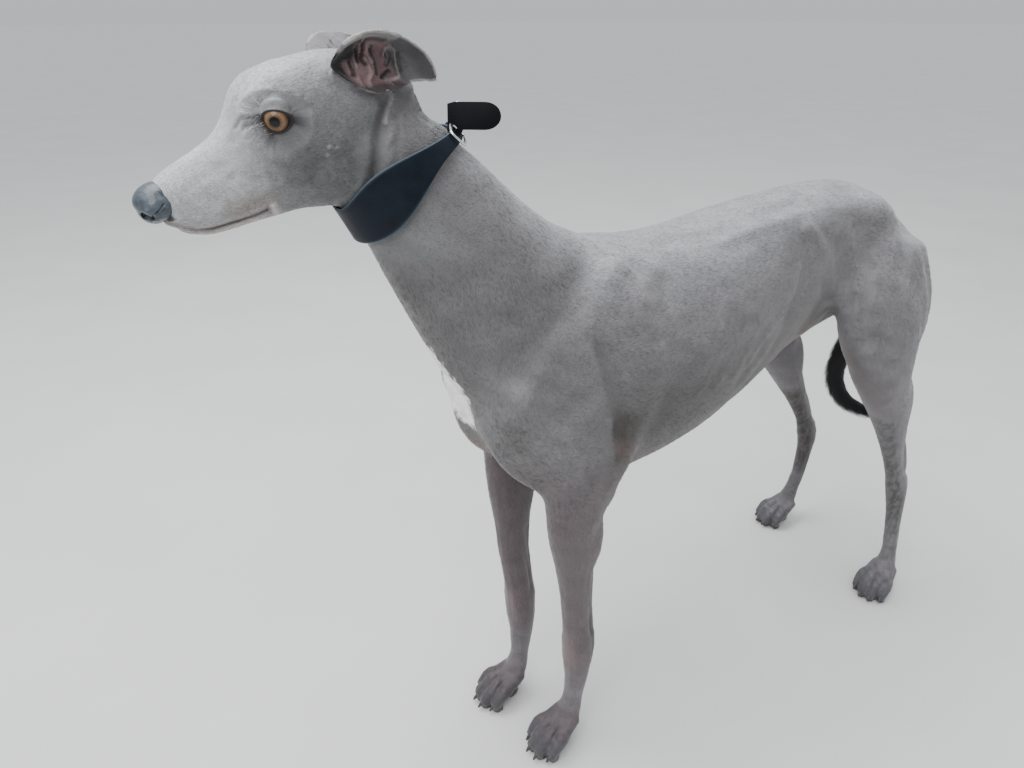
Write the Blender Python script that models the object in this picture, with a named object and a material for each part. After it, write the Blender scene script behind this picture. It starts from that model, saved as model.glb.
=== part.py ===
# Greyhound standing still, life size, with its collar.
# Metres, +Z up. The dog faces -X, its left side is toward -Y and its paws stand on z = 0.
# Sizes are first laid out from the middle of the forefeet, and the whole dog is moved
# at the end so that the middle of its box is at x = 0, y = 0.
# The flesh is made as lofts and muscle bellies, fused, softened and carved, then parted
# with thin cuts into head, neck, torso, tail, legs and paws.

import bpy
import bmesh
import math
import numpy as np
from mathutils import Matrix, Vector

GAP = 0.0003
LEFT = -1
RIGHT = 1
SIDE_NAMES = {LEFT: "left", RIGHT: "right"}

# Driving dimensions of the body
WITHERS_HEIGHT = 0.700
CHEST_HALF_WIDTH = 0.097
LOIN_HALF_WIDTH = 0.066
CHEST_FLOOR = 0.388
TUCK_HEIGHT = 0.480
FOREFOOT_OUT = 0.052
HINDFOOT_OUT = 0.118
RIGHT_FORE_AHEAD = 0.017
RIGHT_HOCK_BACK = 0.030
HINDPAW_SHARE = 2 / 3
RIGHT_HINDPAW_IN = 0.018
SOLE = 0.0
FLAT_BAND = 0.0006

# Driving dimensions of the head, whose own axes run forward to the nose, left and up
POLL = Vector((-0.159, 0.030, 0.871))
NOSE_TIP = Vector((-0.379, 0.0145, 0.7756))
EYE_RADIUS = 0.0115
EYE_SEAT = (0.1165, 0.0275, 0.0088)
EYE_OUTWARD = math.radians(54)
LID_HALF_WIDTH = 0.0101
LID_HALF_HEIGHT = 0.0083
LID_THICKNESS = 0.0018
EAR_THICKNESS = 0.0030
RIGHT_EAR_BACK = 0.015
RIGHT_EAR_DROP = 0.010

# Driving dimensions of the collar; its level on the neck is counted in the neck's rows
ROW_STEP = 0.038
BAND_LEVEL = 4.95
BAND_TILT = 0.26
BAND_ARCH = -0.22
NAPE_BAND = 0.0122
THROAT_BAND = 0.037
SIDE_BAND = 0.025
BAND_CLEAR = 0.0036
BAND_THICKNESS = 0.0028
KEEPER_RISE = 0.0030
RING_REACH = 0.0100
RING_WIRE = 0.0013
BUCKLE_ANGLE = math.radians(32)
BUCKLE_REACH = (0.0085, 0.0105)
BUCKLE_WIRE = 0.0013
STRAP_ROOT = Vector((-0.1172, 0.0025, 0.8232))
STRAP_LENGTH = 0.047
STRAP_WIDTH = 0.023
STRAP_THICKNESS = 0.0030
STRAP_TURN = math.radians(38)
STRAP_LEAN = math.radians(22)

# Mesh fineness
BODY_VOXEL = 0.0032
PAW_VOXEL = 0.0016
HEAD_VOXEL = 0.0015
TAIL_VOXEL = 0.0020
BODY_TRIANGLES = 5600
HEAD_TRIANGLES = 3000
PAW_TRIANGLES = 560
TAIL_TRIANGLES = 420
NOSE_TRIANGLES = 500
EAR_TRIANGLES = 640

# Where the flesh is parted
PAW_TOP = 0.060
FORE_CUT_SPAN = (-0.150, 0.150)
FORE_CUT_HEIGHT = 0.366
FORE_CUT_SLOPE = 0.60
HIND_CUT_SPAN = (0.330, 0.720)
HIND_CUT_HEIGHT = 0.436
HIND_CUT_SLOPE = 0.72


# Materials

def material(name, colour, roughness, metallic=0.0):
    found = bpy.data.materials.get(name)
    if found:
        return found
    made = bpy.data.materials.new(name)
    made.use_nodes = True
    shader = made.node_tree.nodes["Principled BSDF"]
    shader.inputs["Base Color"].default_value = (*colour, 1.0)
    shader.inputs["Roughness"].default_value = roughness
    shader.inputs["Metallic"].default_value = metallic
    return made


def coat():
    return material("coat", (0.150, 0.145, 0.155), 0.62)


def dark_coat():
    return material("dark_coat", (0.030, 0.028, 0.032), 0.66)


def ear_skin():
    return material("ear_skin", (0.230, 0.165, 0.165), 0.60)


def nose_leather():
    return material("nose_leather", (0.030, 0.036, 0.045), 0.35)


def eye_glass():
    return material("eye_glass", (0.420, 0.200, 0.060), 0.06)


def collar_leather():
    return material("collar_leather", (0.012, 0.022, 0.035), 0.42)


def chrome():
    return material("chrome", (0.800, 0.810, 0.820), 0.12, 1.0)


# Mesh helpers

def mesh_object(name, points, faces, finish=None):
    mesh = bpy.data.meshes.new(name)
    mesh.from_pydata([tuple(p) for p in points], [], faces)
    mesh.validate()
    made = bpy.data.objects.new(name, mesh)
    bpy.context.collection.objects.link(made)
    if finish:
        mesh.materials.append(finish)
    return made


def evaluated_mesh(item):
    graph = bpy.context.evaluated_depsgraph_get()
    graph.update()
    return bpy.data.meshes.new_from_object(item.evaluated_get(graph))


def apply_modifiers(item):
    mesh = evaluated_mesh(item)
    item.modifiers.clear()
    old = item.data
    item.data = mesh
    bpy.data.meshes.remove(old)
    return item


def remove(items):
    for item in items:
        bpy.data.objects.remove(item, do_unlink=True)


def duplicate(item, name):
    made = item.copy()
    made.data = item.data.copy()
    made.name = name
    bpy.context.collection.objects.link(made)
    return made


def coordinates(item):
    values = np.empty(len(item.data.vertices) * 3, dtype=np.float32)
    item.data.vertices.foreach_get("co", values)
    return values.reshape(-1, 3).astype(float)


def normals(item):
    values = np.empty(len(item.data.vertices) * 3, dtype=np.float32)
    item.data.vertex_normals.foreach_get("vector", values)
    return values.reshape(-1, 3).astype(float)


def set_coordinates(item, points):
    item.data.vertices.foreach_set("co", points.astype(np.float32).ravel())
    item.data.update()


def largest_piece(item):
    work = bmesh.new()
    work.from_mesh(item.data)
    unseen = set(work.verts)
    best = []
    while unseen:
        start = unseen.pop()
        shell = [start]
        queue = [start]
        while queue:
            for edge in queue.pop().link_edges:
                for other in edge.verts:
                    if other in unseen:
                        unseen.discard(other)
                        shell.append(other)
                        queue.append(other)
        if len(shell) > len(best):
            best = shell
    kept = set(best)
    bmesh.ops.delete(work, geom=[v for v in work.verts if v not in kept], context="VERTS")
    work.to_mesh(item.data)
    work.free()
    return item


def boolean(item, tool, operation):
    step = item.modifiers.new(operation.lower(), "BOOLEAN")
    step.operation = operation
    step.solver = "EXACT"
    step.object = tool
    return apply_modifiers(item)


def grown(item, amount, name="cutter"):
    made = duplicate(item, name)
    set_coordinates(made, coordinates(made) + normals(made) * amount)
    return made


def clear_of(item, others):
    """Cut other shapes out of a mesh with a thin gap around them."""
    for other in others:
        tool = grown(other, GAP * 1.5)
        boolean(item, tool, "DIFFERENCE")
        remove([tool])
    return largest_piece(item)


def block(name, frame, low, high):
    corners = [frame @ Vector((x, y, z)) for x in (low[0], high[0])
               for y in (low[1], high[1]) for z in (low[2], high[2])]
    faces = [(0, 1, 3, 2), (4, 6, 7, 5), (0, 4, 5, 1), (2, 3, 7, 6), (0, 2, 6, 4), (1, 5, 7, 3)]
    return mesh_object(name, corners, faces)


def wedge(side, span, height, slope, inner):
    """A block beside the middle plane whose top rises outward from a height at the middle."""
    outer = 0.30
    corners = []
    for x in span:
        for y in (inner, outer):
            for z in (-0.10, height + y * slope):
                corners.append(Vector((x, y * side, z)))
    faces = [(0, 1, 3, 2), (4, 6, 7, 5), (0, 4, 5, 1), (2, 3, 7, 6), (0, 2, 6, 4), (1, 5, 7, 3)]
    return outward_faces(mesh_object("wedge", corners, faces))


def split_off(body, name, side, span, height, slope):
    """Part the flesh under a leaning plane on one side from the body and leave a thin gap."""
    tool = wedge(side, span, height - GAP, slope, 0.0)
    piece = duplicate(body, name)
    boolean(piece, tool, "INTERSECT")
    largest_piece(piece)
    remove([tool])
    tool = wedge(side, span, height, slope, 0.0)
    boolean(body, tool, "DIFFERENCE")
    remove([tool])
    return piece


def smooth_rows(rows, steps):
    """Rows of numbers with Catmull-Rom steps between them."""
    rows = np.array(rows, dtype=float)
    last = len(rows) - 1
    result = []
    for i in range(last):
        a, b, c, d = (rows[min(max(i + k, 0), last)] for k in (-1, 0, 1, 2))
        for k in range(steps):
            t = k / steps
            result.append(0.5 * (2 * b + (c - a) * t + (2 * a - 5 * b + 4 * c - d) * t ** 2
                                 + (3 * b - a - 3 * c + d) * t ** 3))
    result.append(rows[last])
    return result


def loft(name, rings):
    sides = len(rings[0])
    points = [p for ring in rings for p in ring]
    faces = []
    for i in range(len(rings) - 1):
        for k in range(sides):
            m = (k + 1) % sides
            faces.append((i * sides + k, i * sides + m, (i + 1) * sides + m, (i + 1) * sides + k))
    faces.append(tuple(range(sides))[::-1])
    faces.append(tuple(range((len(rings) - 1) * sides, len(rings) * sides)))
    made = mesh_object(name, points, faces)
    work = bmesh.new()
    work.from_mesh(made.data)
    bmesh.ops.recalc_face_normals(work, faces=work.faces)
    work.to_mesh(made.data)
    work.free()
    return made


def bent_power(value, roundness):
    return math.copysign(abs(value) ** (2.0 / roundness), value)


def section_point(angle, top, bottom, half_width, widest, round_top, round_bottom, across):
    """A point of an egg section between a top and a bottom point, at an angle from its side."""
    waist = bottom.lerp(top, widest)
    c = math.cos(angle)
    s = math.sin(angle)
    roundness = round_top if s > 0 else round_bottom
    reach = (top - waist) if s > 0 else (waist - bottom)
    return waist + across * (half_width * bent_power(c, roundness)) + reach * bent_power(s, roundness)


def egg_loft(name, rows, frame=None, steps=4, sides=36, round_top=2.0, round_bottom=2.0):
    """Loft of egg sections. A row holds the top point and the bottom point in the middle
    plane, the half width, the height of the widest level as a share, and the sideways shift."""
    frame = frame or Matrix.Identity(4)
    rings = []
    for top_x, top_z, low_x, low_z, half_width, widest, shift in smooth_rows(rows, steps):
        top = Vector((top_x, shift, top_z))
        low = Vector((low_x, shift, low_z))
        ring = [section_point(2 * math.pi * k / sides, top, low, half_width, widest,
                              round_top, round_bottom, Vector((0, 1, 0))) for k in range(sides)]
        rings.append([frame @ p for p in ring])
    return loft(name, rings)


def limb(name, rows, steps=4, sides=20):
    """Tube along a bent leg. A row holds x, y, z, the half depth fore and aft and the half width."""
    rows = smooth_rows(rows, steps)
    rings = []
    for i, row in enumerate(rows):
        before = Vector(rows[max(i - 1, 0)][:3])
        after = Vector(rows[min(i + 1, len(rows) - 1)][:3])
        along = (after - before).normalized()
        fore = (Vector((1, 0, 0)) - along * along.x).normalized()
        side = along.cross(fore)
        centre = Vector(row[:3])
        rings.append([centre + fore * (row[3] * math.cos(a)) + side * (row[4] * math.sin(a))
                      for a in (2 * math.pi * k / sides for k in range(sides))])
    return loft(name, rings)


def ball(name, frame, radii, rings=12, sides=20):
    work = bmesh.new()
    bmesh.ops.create_uvsphere(work, u_segments=sides, v_segments=rings, radius=1.0,
                              matrix=frame @ Matrix.Diagonal((*radii, 1.0)))
    mesh = bpy.data.meshes.new(name)
    work.to_mesh(mesh)
    work.free()
    made = bpy.data.objects.new(name, mesh)
    bpy.context.collection.objects.link(made)
    return made


def belly(name, start, end, half_width, half_depth, outward=(0, 1, 0), over=1.12):
    """A muscle belly stretched from start to end: half_width lies in the skin, half_depth outward."""
    start = Vector(start)
    end = Vector(end)
    along = (end - start).normalized()
    out = Vector(outward)
    out = (out - along * out.dot(along)).normalized()
    wide = out.cross(along)
    frame = Matrix((along, wide, out)).transposed().to_4x4()
    frame.translation = (start + end) / 2
    return ball(name, frame, ((end - start).length / 2 * over, half_width, half_depth))


def fuse(name, pieces, voxel, softening, weigh=None):
    """Join closed shapes into one skin of even fineness and soften it, by weight if given."""
    work = bmesh.new()
    for piece in pieces:
        work.from_mesh(piece.data)
    mesh = bpy.data.meshes.new(name)
    work.to_mesh(mesh)
    work.free()
    made = bpy.data.objects.new(name, mesh)
    bpy.context.collection.objects.link(made)
    step = made.modifiers.new("one skin", "REMESH")
    step.mode = "VOXEL"
    step.voxel_size = voxel
    step.use_smooth_shade = True
    apply_modifiers(made)
    largest_piece(made)
    soften = made.modifiers.new("soften", "SMOOTH")
    soften.factor = 0.5
    soften.iterations = softening
    if weigh:
        group = made.vertex_groups.new(name="soften")
        for index, weight in enumerate(weigh(coordinates(made))):
            group.add([index], float(weight), "REPLACE")
        soften.vertex_group = group.name
    apply_modifiers(made)
    made.vertex_groups.clear()
    return made


def halve(item, point, normal):
    """Keep the part of a closed mesh behind a plane and close it with a flat face."""
    work = bmesh.new()
    work.from_mesh(item.data)
    geometry = work.verts[:] + work.edges[:] + work.faces[:]
    bmesh.ops.bisect_plane(work, geom=geometry, plane_co=point, plane_no=normal, clear_outer=True)
    rim = [edge for edge in work.edges if edge.is_boundary]
    filled = bmesh.ops.holes_fill(work, edges=rim)
    bmesh.ops.triangulate(work, faces=filled["faces"])
    work.to_mesh(item.data)
    work.free()
    return largest_piece(item)


def part_at(item, name, point, normal):
    """Part a mesh at a plane with a thin gap; the piece ahead of the plane is returned."""
    point = Vector(point)
    normal = Vector(normal).normalized()
    ahead = duplicate(item, name)
    halve(ahead, point + normal * (GAP / 2), -normal)
    halve(item, point - normal * (GAP / 2), normal)
    return ahead


def simplify(item, triangles):
    now = sum(len(face.vertices) - 2 for face in item.data.polygons)
    step = item.modifiers.new("simplify", "DECIMATE")
    step.ratio = min(1.0, triangles / now)
    step.use_collapse_triangulate = True
    return apply_modifiers(item)


# Carving strokes on a fine skin

def distance_to_path(points, path):
    path = np.array(path, dtype=float)
    best = np.full(len(points), 1e9)
    for a, b in zip(path[:-1], path[1:]):
        step = b - a
        share = np.clip(((points - a) @ step) / (step @ step), 0, 1)
        best = np.minimum(best, np.linalg.norm(points - (a + share[:, None] * step), axis=1))
    return best


def carve(item, strokes, frame=None):
    """Raise or sink the skin along paths. A stroke is a path, its radius and its height."""
    points = coordinates(item)
    out = normals(item)
    local = points
    if frame is not None:
        inverse = np.array(frame.inverted())
        local = points @ inverse[:3, :3].T + inverse[:3, 3]
    lift = np.zeros(len(points))
    for path, radius, height in strokes:
        if len(path) == 1:
            away = np.linalg.norm(local - np.array(path[0]), axis=1)
        else:
            away = distance_to_path(local, path)
        near = np.clip(1 - (away / radius) ** 2, 0, 1)
        lift += height * near * near
    set_coordinates(item, points + out * lift[:, None])
    return item


def mirrored(strokes):
    """The same strokes on both sides of the middle plane."""
    result = []
    for path, radius, height in strokes:
        for side in (LEFT, RIGHT):
            result.append(([(p[0], p[1] * side, p[2]) for p in path], radius, height))
    return result


# Torso and neck

def torso_rows():
    """Rows of top point, bottom point, half width, widest level and shift, chest to rump."""
    stations = [
        (-0.108, 0.600, 0.525, 0.030, 0.50),
        (-0.085, 0.655, 0.480, 0.058, 0.50),
        (-0.045, 0.690, 0.430, 0.078, 0.52),
        (0.005, WITHERS_HEIGHT - 0.001, CHEST_FLOOR + 0.014, 0.088, 0.54),
        (0.060, 0.693, CHEST_FLOOR + 0.001, 0.094, 0.52),
        (0.120, 0.686, CHEST_FLOOR + 0.003, CHEST_HALF_WIDTH, 0.50),
        (0.190, 0.689, 0.403, CHEST_HALF_WIDTH, 0.50),
        (0.265, 0.698, 0.425, 0.088, 0.52),
        (0.340, 0.705, 0.450, 0.071, 0.56),
        (0.410, 0.708, TUCK_HEIGHT, LOIN_HALF_WIDTH, 0.58),
        (0.480, 0.703, 0.500, 0.072, 0.60),
        (0.535, 0.682, 0.508, 0.070, 0.58),
        (0.585, 0.650, 0.518, 0.056, 0.55),
        (0.624, 0.612, 0.535, 0.036, 0.50),
        (0.645, 0.583, 0.552, 0.016, 0.50),
    ]
    return [(x, top, x, low, width, widest, 0.0) for x, top, low, width, widest in stations]


def neck_rows():
    """Rows from inside the chest up to the poll."""
    return [
        (0.075, 0.640, -0.050, 0.470, 0.060, 0.50, 0.000),
        (0.034, 0.696, -0.124, 0.560, 0.067, 0.50, 0.000),
        (-0.004, 0.715, -0.158, 0.625, 0.062, 0.52, 0.000),
        (-0.045, 0.746, -0.185, 0.684, 0.054, 0.52, 0.003),
        (-0.082, 0.782, -0.203, 0.727, 0.049, 0.52, 0.008),
        (-0.113, 0.808, -0.218, 0.758, 0.046, 0.52, 0.013),
        (-0.141, 0.831, -0.230, 0.784, 0.045, 0.52, 0.019),
        (-0.167, 0.842, -0.238, 0.806, 0.040, 0.52, 0.023),
    ]


def neck_point(place, angle, clear):
    """A point around the neck at a place counted in rows, a little clear of the skin."""
    rows = neck_rows()
    row = min(int(place), len(rows) - 2)
    steps = 20
    fine = smooth_rows(rows[max(row - 1, 0):row + 3], steps)
    start = steps if row > 0 else 0
    at = start + (place - row) * steps
    low = int(at)
    share = at - low
    mixed = fine[low] * (1 - share) + fine[min(low + 1, len(fine) - 1)] * share
    top = Vector((mixed[0], mixed[6], mixed[1]))
    low_end = Vector((mixed[2], mixed[6], mixed[3]))
    spread = (top - low_end).normalized() * clear
    return section_point(angle, top + spread, low_end - spread, mixed[4] + clear, mixed[5],
                         2.0, 2.0, Vector((0, 1, 0)))


def trunk_pieces():
    pieces = [
        egg_loft("trunk", torso_rows(), round_top=2.1, round_bottom=1.75),
        egg_loft("neck", neck_rows(), round_top=1.9, round_bottom=2.0),
        belly("keel", (-0.095, 0, 0.520), (0.060, 0, 0.420), 0.030, 0.036),
    ]
    for side in (LEFT, RIGHT):
        out = (0.0, side, 0.0)

        def muscle(name, start, end, wide, deep, outward=out):
            ends = [(p[0], p[1] * side, p[2]) for p in (start, end)]
            pieces.append(belly(name, ends[0], ends[1], wide, deep, outward))
        muscle("blade", (0.052, 0.044, 0.652), (-0.070, 0.060, 0.560), 0.052, 0.026)
        muscle("shoulder", (-0.092, 0.046, 0.585), (-0.062, 0.062, 0.515), 0.036, 0.028)
        muscle("upper_arm", (-0.080, 0.060, 0.545), (0.016, 0.072, 0.420), 0.034, 0.025)
        muscle("triceps", (0.052, 0.062, 0.600), (0.022, 0.076, 0.420), 0.044, 0.022)
        muscle("breast", (-0.098, 0.024, 0.540), (-0.025, 0.046, 0.432), 0.036, 0.030)
        muscle("elbow", (0.030, 0.076, 0.425), (0.032, 0.074, 0.398), 0.012, 0.013)
        muscle("long_back", (0.150, 0.032, 0.660), (0.450, 0.034, 0.672), 0.028, 0.024, (0, 0, 1))
        muscle("croup", (0.430, 0.038, 0.666), (0.540, 0.046, 0.626), 0.048, 0.032)
        muscle("rump", (0.520, 0.044, 0.630), (0.608, 0.036, 0.556), 0.046, 0.032)
    return pieces


# Legs

def foreleg_rows(side):
    """Rows of a foreleg from the elbow down; the last number is the share of the pair's offset."""
    ahead = RIGHT_FORE_AHEAD if side == RIGHT else 0.0
    rows = [
        (-0.008, 0.070, 0.445, 0.046, 0.028, -0.3),
        (-0.010, 0.068, 0.402, 0.041, 0.026, -0.2),
        (-0.008, 0.064, 0.362, 0.034, 0.0232, 0.2),
        (-0.001, 0.060, 0.320, 0.0285, 0.0205, 0.6),
        (0.006, 0.057, 0.268, 0.0240, 0.0180, 1.0),
        (0.012, 0.055, 0.215, 0.0220, 0.0178, 1.0),
        (0.016, 0.055, 0.178, 0.0232, 0.0200, 1.0),
        (0.017, 0.054, 0.145, 0.0220, 0.0195, 1.0),
        (0.017, 0.053, 0.112, 0.0175, 0.0165, 1.0),
        (0.014, FOREFOOT_OUT, 0.075, 0.0152, 0.0160, 1.0),
        (0.007, FOREFOOT_OUT, 0.042, 0.0160, 0.0175, 1.0),
    ]
    return [(x - ahead * share, side * y, z, fore, wide) for x, y, z, fore, wide, share in rows]


def hindleg_rows(side):
    """Rows of a hind leg from the hip down; the last numbers are shares of the pair's offsets."""
    back = RIGHT_HOCK_BACK if side == RIGHT else 0.0
    turn = -RIGHT_HINDPAW_IN if side == RIGHT else 0.0
    rows = [
        (0.530, 0.052, 0.622, 0.080, 0.036, 0.00, 0.0),
        (0.521, 0.074, 0.567, 0.089, 0.040, 0.00, 0.0),
        (0.516, 0.088, 0.517, 0.081, 0.042, 0.00, 0.0),
        (0.515, 0.096, 0.470, 0.065, 0.038, 0.00, 0.0),
        (0.530, 0.099, 0.427, 0.047, 0.032, 0.10, 0.0),
        (0.556, 0.100, 0.382, 0.036, 0.028, 0.25, 0.0),
        (0.583, 0.100, 0.335, 0.0275, 0.0235, 0.45, 0.0),
        (0.607, 0.100, 0.285, 0.0210, 0.0160, 0.80, 0.1),
        (0.630, 0.100, 0.238, 0.0185, 0.0125, 1.00, 0.2),
        (0.650, 0.102, 0.195, 0.0210, 0.0165, 1.00, 0.4),
        (0.656, 0.106, 0.155, 0.0165, 0.0145, 0.90, 0.6),
        (0.657, 0.112, 0.105, 0.0142, 0.0130, 0.75, 0.9),
        (0.654, HINDFOOT_OUT, 0.066, 0.0148, 0.0148, HINDPAW_SHARE, 1.0),
        (0.646, HINDFOOT_OUT + 0.002, 0.040, 0.0155, 0.0165, HINDPAW_SHARE, 1.0),
    ]
    return [(x + back * share, side * (y + turn * bend), z, fore, wide)
            for x, y, z, fore, wide, share, bend in rows]


def leg_pieces(side):
    out = (0.0, side, 0.0)
    ahead = RIGHT_FORE_AHEAD if side == RIGHT else 0.0
    back = RIGHT_HOCK_BACK if side == RIGHT else 0.0
    pieces = [
        limb("foreleg", foreleg_rows(side)),
        limb("hindleg", hindleg_rows(side)),
    ]

    def muscle(name, start, end, wide, deep, shift=(0.0, 0.0), over=1.12):
        ends = [(p[0] + s, p[1] * side, p[2]) for p, s in zip((start, end), shift)]
        pieces.append(belly(name, ends[0], ends[1], wide, deep, out, over))
    muscle("forearm", (0.012, 0.068, 0.412), (0.018, 0.060, 0.300), 0.018, 0.0205, (0.0, -ahead))
    muscle("wrist_pad", (0.033, 0.055, 0.170), (0.033, 0.055, 0.150), 0.0080, 0.0080, (-ahead, -ahead))
    muscle("thigh_front", (0.465, 0.066, 0.610), (0.488, 0.096, 0.450), 0.050, 0.032)
    muscle("thigh_back", (0.573, 0.056, 0.586), (0.553, 0.092, 0.440), 0.047, 0.030)
    muscle("calf", (0.564, 0.098, 0.440), (0.596, 0.100, 0.330), 0.026, 0.023, (0.0, back * 0.4))
    muscle("heel_cord", (0.612, 0.100, 0.335), (0.668, 0.102, 0.212), 0.0080, 0.0065,
           (back * 0.4, back), 1.04)
    muscle("heel", (0.666, 0.102, 0.218), (0.667, 0.103, 0.160), 0.0115, 0.0096, (back, back))
    muscle("heel_rear", (0.667, 0.104, 0.180), (0.667, 0.110, 0.110), 0.0072, 0.0072, (back, back * 0.75))
    return pieces


# Paws

def toe_rows(place, reach, height):
    """One arched toe in paw axes: forward is -X, place is its sideways place."""
    spread = place * 1.18
    return [
        (0.010, place * 0.70, 0.044, 0.0105, 0.0095),
        (-0.012, place * 0.90, 0.034 + height, 0.0105, 0.0092),
        (-0.012 - reach * 0.45, spread, 0.030 + height, 0.0100, 0.0090),
        (-0.012 - reach * 0.80, spread, 0.0185 + height * 0.5, 0.0090, 0.0086),
        (-0.012 - reach, spread * 0.98, 0.0100, 0.0075, 0.0076),
    ]


def toe_places():
    """Sideways place, reach and knuckle height of the four toes, outer to inner."""
    outer = (0.0185, 0.030, -0.002)
    middle = (0.0065, 0.041, 0.001)
    places = []
    for flip, (place, reach, height) in ((-1, outer), (-1, middle), (1, middle), (1, outer)):
        places.append((place * flip, reach, height))
    return places


def paw_frame(side, pair):
    if pair == "fore":
        shift = -RIGHT_FORE_AHEAD if side == RIGHT else 0.0
        place = Vector((0.000 + shift, side * FOREFOOT_OUT, 0.0))
        turn = math.radians(4) * -side
    else:
        shift = RIGHT_HOCK_BACK * HINDPAW_SHARE if side == RIGHT else 0.0
        wide = HINDFOOT_OUT + 0.002 - (RIGHT_HINDPAW_IN if side == RIGHT else 0.0)
        place = Vector((0.644 + shift, side * wide, 0.0))
        turn = math.radians(8) * -side
    return Matrix.Translation(place) @ Matrix.Rotation(turn, 4, "Z")


def paw_pieces(side, pair):
    frame = paw_frame(side, pair)
    pieces = []
    for place, reach, height in toe_places():
        toe = limb("toe", toe_rows(place, reach, height), sides=14)
        toe.data.transform(frame)
        tip = -0.012 - reach
        pad = ball("toe_pad", frame @ Matrix.Translation((tip + 0.007, place * 1.16, 0.0052)),
                   (0.0098, 0.0074, 0.0080))
        claw = limb("claw", [(tip + 0.002, place * 1.16, 0.0120, 0.0034, 0.0030),
                             (tip - 0.006, place * 1.16, 0.0105, 0.0030, 0.0025),
                             (tip - 0.012, place * 1.16, 0.0062, 0.0019, 0.0017),
                             (tip - 0.014, place * 1.16, 0.0030, 0.0012, 0.0011)], sides=10)
        claw.data.transform(frame)
        pieces += [toe, pad, claw]
    heel = frame @ Matrix.Translation((-0.006, 0.0, 0.0070))
    instep = frame @ Matrix.Translation((0.000, 0.0, 0.0300))
    pieces.append(ball("heel_pad", heel, (0.0160, 0.0165, 0.0105)))
    pieces.append(ball("instep", instep, (0.0175, 0.0190, 0.0180)))
    return pieces


# Tail

def tail_rows():
    return [
        (0.600, 0.000, 0.592, 0.022, 0.022),
        (0.632, 0.001, 0.570, 0.0190, 0.0190),
        (0.648, 0.004, 0.533, 0.0165, 0.0165),
        (0.648, 0.012, 0.487, 0.0155, 0.0150),
        (0.641, 0.024, 0.440, 0.0150, 0.0140),
        (0.636, 0.034, 0.400, 0.0150, 0.0132),
        (0.633, 0.037, 0.362, 0.0150, 0.0128),
        (0.634, 0.031, 0.336, 0.0140, 0.0120),
        (0.640, 0.015, 0.314, 0.0125, 0.0108),
        (0.648, -0.010, 0.305, 0.0100, 0.0090),
        (0.658, -0.034, 0.304, 0.0068, 0.0063),
        (0.666, -0.050, 0.306, 0.0030, 0.0028),
    ]


# Head

def head_frame():
    forward = (NOSE_TIP - POLL).normalized()
    left = Vector((0, 0, 1)).cross(forward).normalized()
    up = forward.cross(left)
    frame = Matrix((forward, left, up)).transposed().to_4x4()
    frame.translation = POLL
    return frame


def face_rows():
    """Rows along the head from the poll to the nose, in head axes."""
    stations = [
        (0.000, -0.010, -0.055, 0.034, 0.50),
        (0.020, 0.013, -0.066, 0.0415, 0.55),
        (0.045, 0.0275, -0.070, 0.0455, 0.57),
        (0.070, 0.0350, -0.068, 0.0475, 0.58),
        (0.095, 0.0395, -0.064, 0.0470, 0.58),
        (0.115, 0.0405, -0.060, 0.0430, 0.58),
        (0.130, 0.0350, -0.058, 0.0365, 0.55),
        (0.145, 0.0235, -0.055, 0.0305, 0.46),
        (0.160, 0.0155, -0.051, 0.0265, 0.40),
        (0.180, 0.0125, -0.045, 0.0235, 0.36),
        (0.200, 0.0115, -0.040, 0.0210, 0.38),
        (0.215, 0.0090, -0.034, 0.0188, 0.42),
        (0.228, 0.0030, -0.024, 0.0145, 0.48),
    ]
    return [(f, top, f, low, width, widest, 0.0) for f, top, low, width, widest in stations]


def jaw_rows():
    stations = [
        (0.221, -0.022, -0.035, 0.0085, 0.5),
        (0.207, -0.024, -0.0455, 0.0145, 0.5),
        (0.190, -0.027, -0.0515, 0.0175, 0.5),
        (0.170, -0.030, -0.0565, 0.0205, 0.5),
        (0.150, -0.030, -0.0620, 0.0245, 0.5),
        (0.132, -0.030, -0.0670, 0.0290, 0.5),
        (0.112, -0.035, -0.0765, 0.0345, 0.5),
        (0.092, -0.040, -0.0850, 0.0370, 0.5),
        (0.070, -0.045, -0.0860, 0.0360, 0.5),
    ]
    return [(f, top, f, low, width, widest, 0.0) for f, top, low, width, widest in stations]


def head_pieces():
    frame = head_frame()
    pieces = [
        egg_loft("face", face_rows(), frame, round_top=2.0, round_bottom=2.2),
        egg_loft("jaw", jaw_rows(), frame, round_top=2.0, round_bottom=2.1),
    ]
    for side in (LEFT, RIGHT):
        def part(name, start, end, wide, deep):
            turned = [frame @ Vector((p[0], p[1] * -side, p[2])) for p in (start, end)]
            outward = frame.to_3x3() @ Vector((0, -side, 0))
            pieces.append(belly(name, turned[0], turned[1], wide, deep, outward))
        part("cheek", (0.108, 0.032, -0.036), (0.066, 0.033, -0.050), 0.028, 0.0105)
        part("cheek_bone", (0.138, 0.028, -0.010), (0.060, 0.0445, -0.006), 0.0115, 0.0072)
        part("brow", (0.134, 0.021, 0.0215), (0.108, 0.031, 0.0215), 0.0090, 0.0070)
        part("temple", (0.104, 0.026, 0.008), (0.040, 0.030, 0.000), 0.022, 0.0150)
        part("lip", (0.214, 0.0125, -0.022), (0.160, 0.0195, -0.036), 0.0110, 0.0075)
        part("lid", (0.1165, 0.0275, 0.0100), (0.1166, 0.0276, 0.0100), EYE_RADIUS + LID_THICKNESS,
             EYE_RADIUS + LID_THICKNESS)
    return pieces


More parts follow.
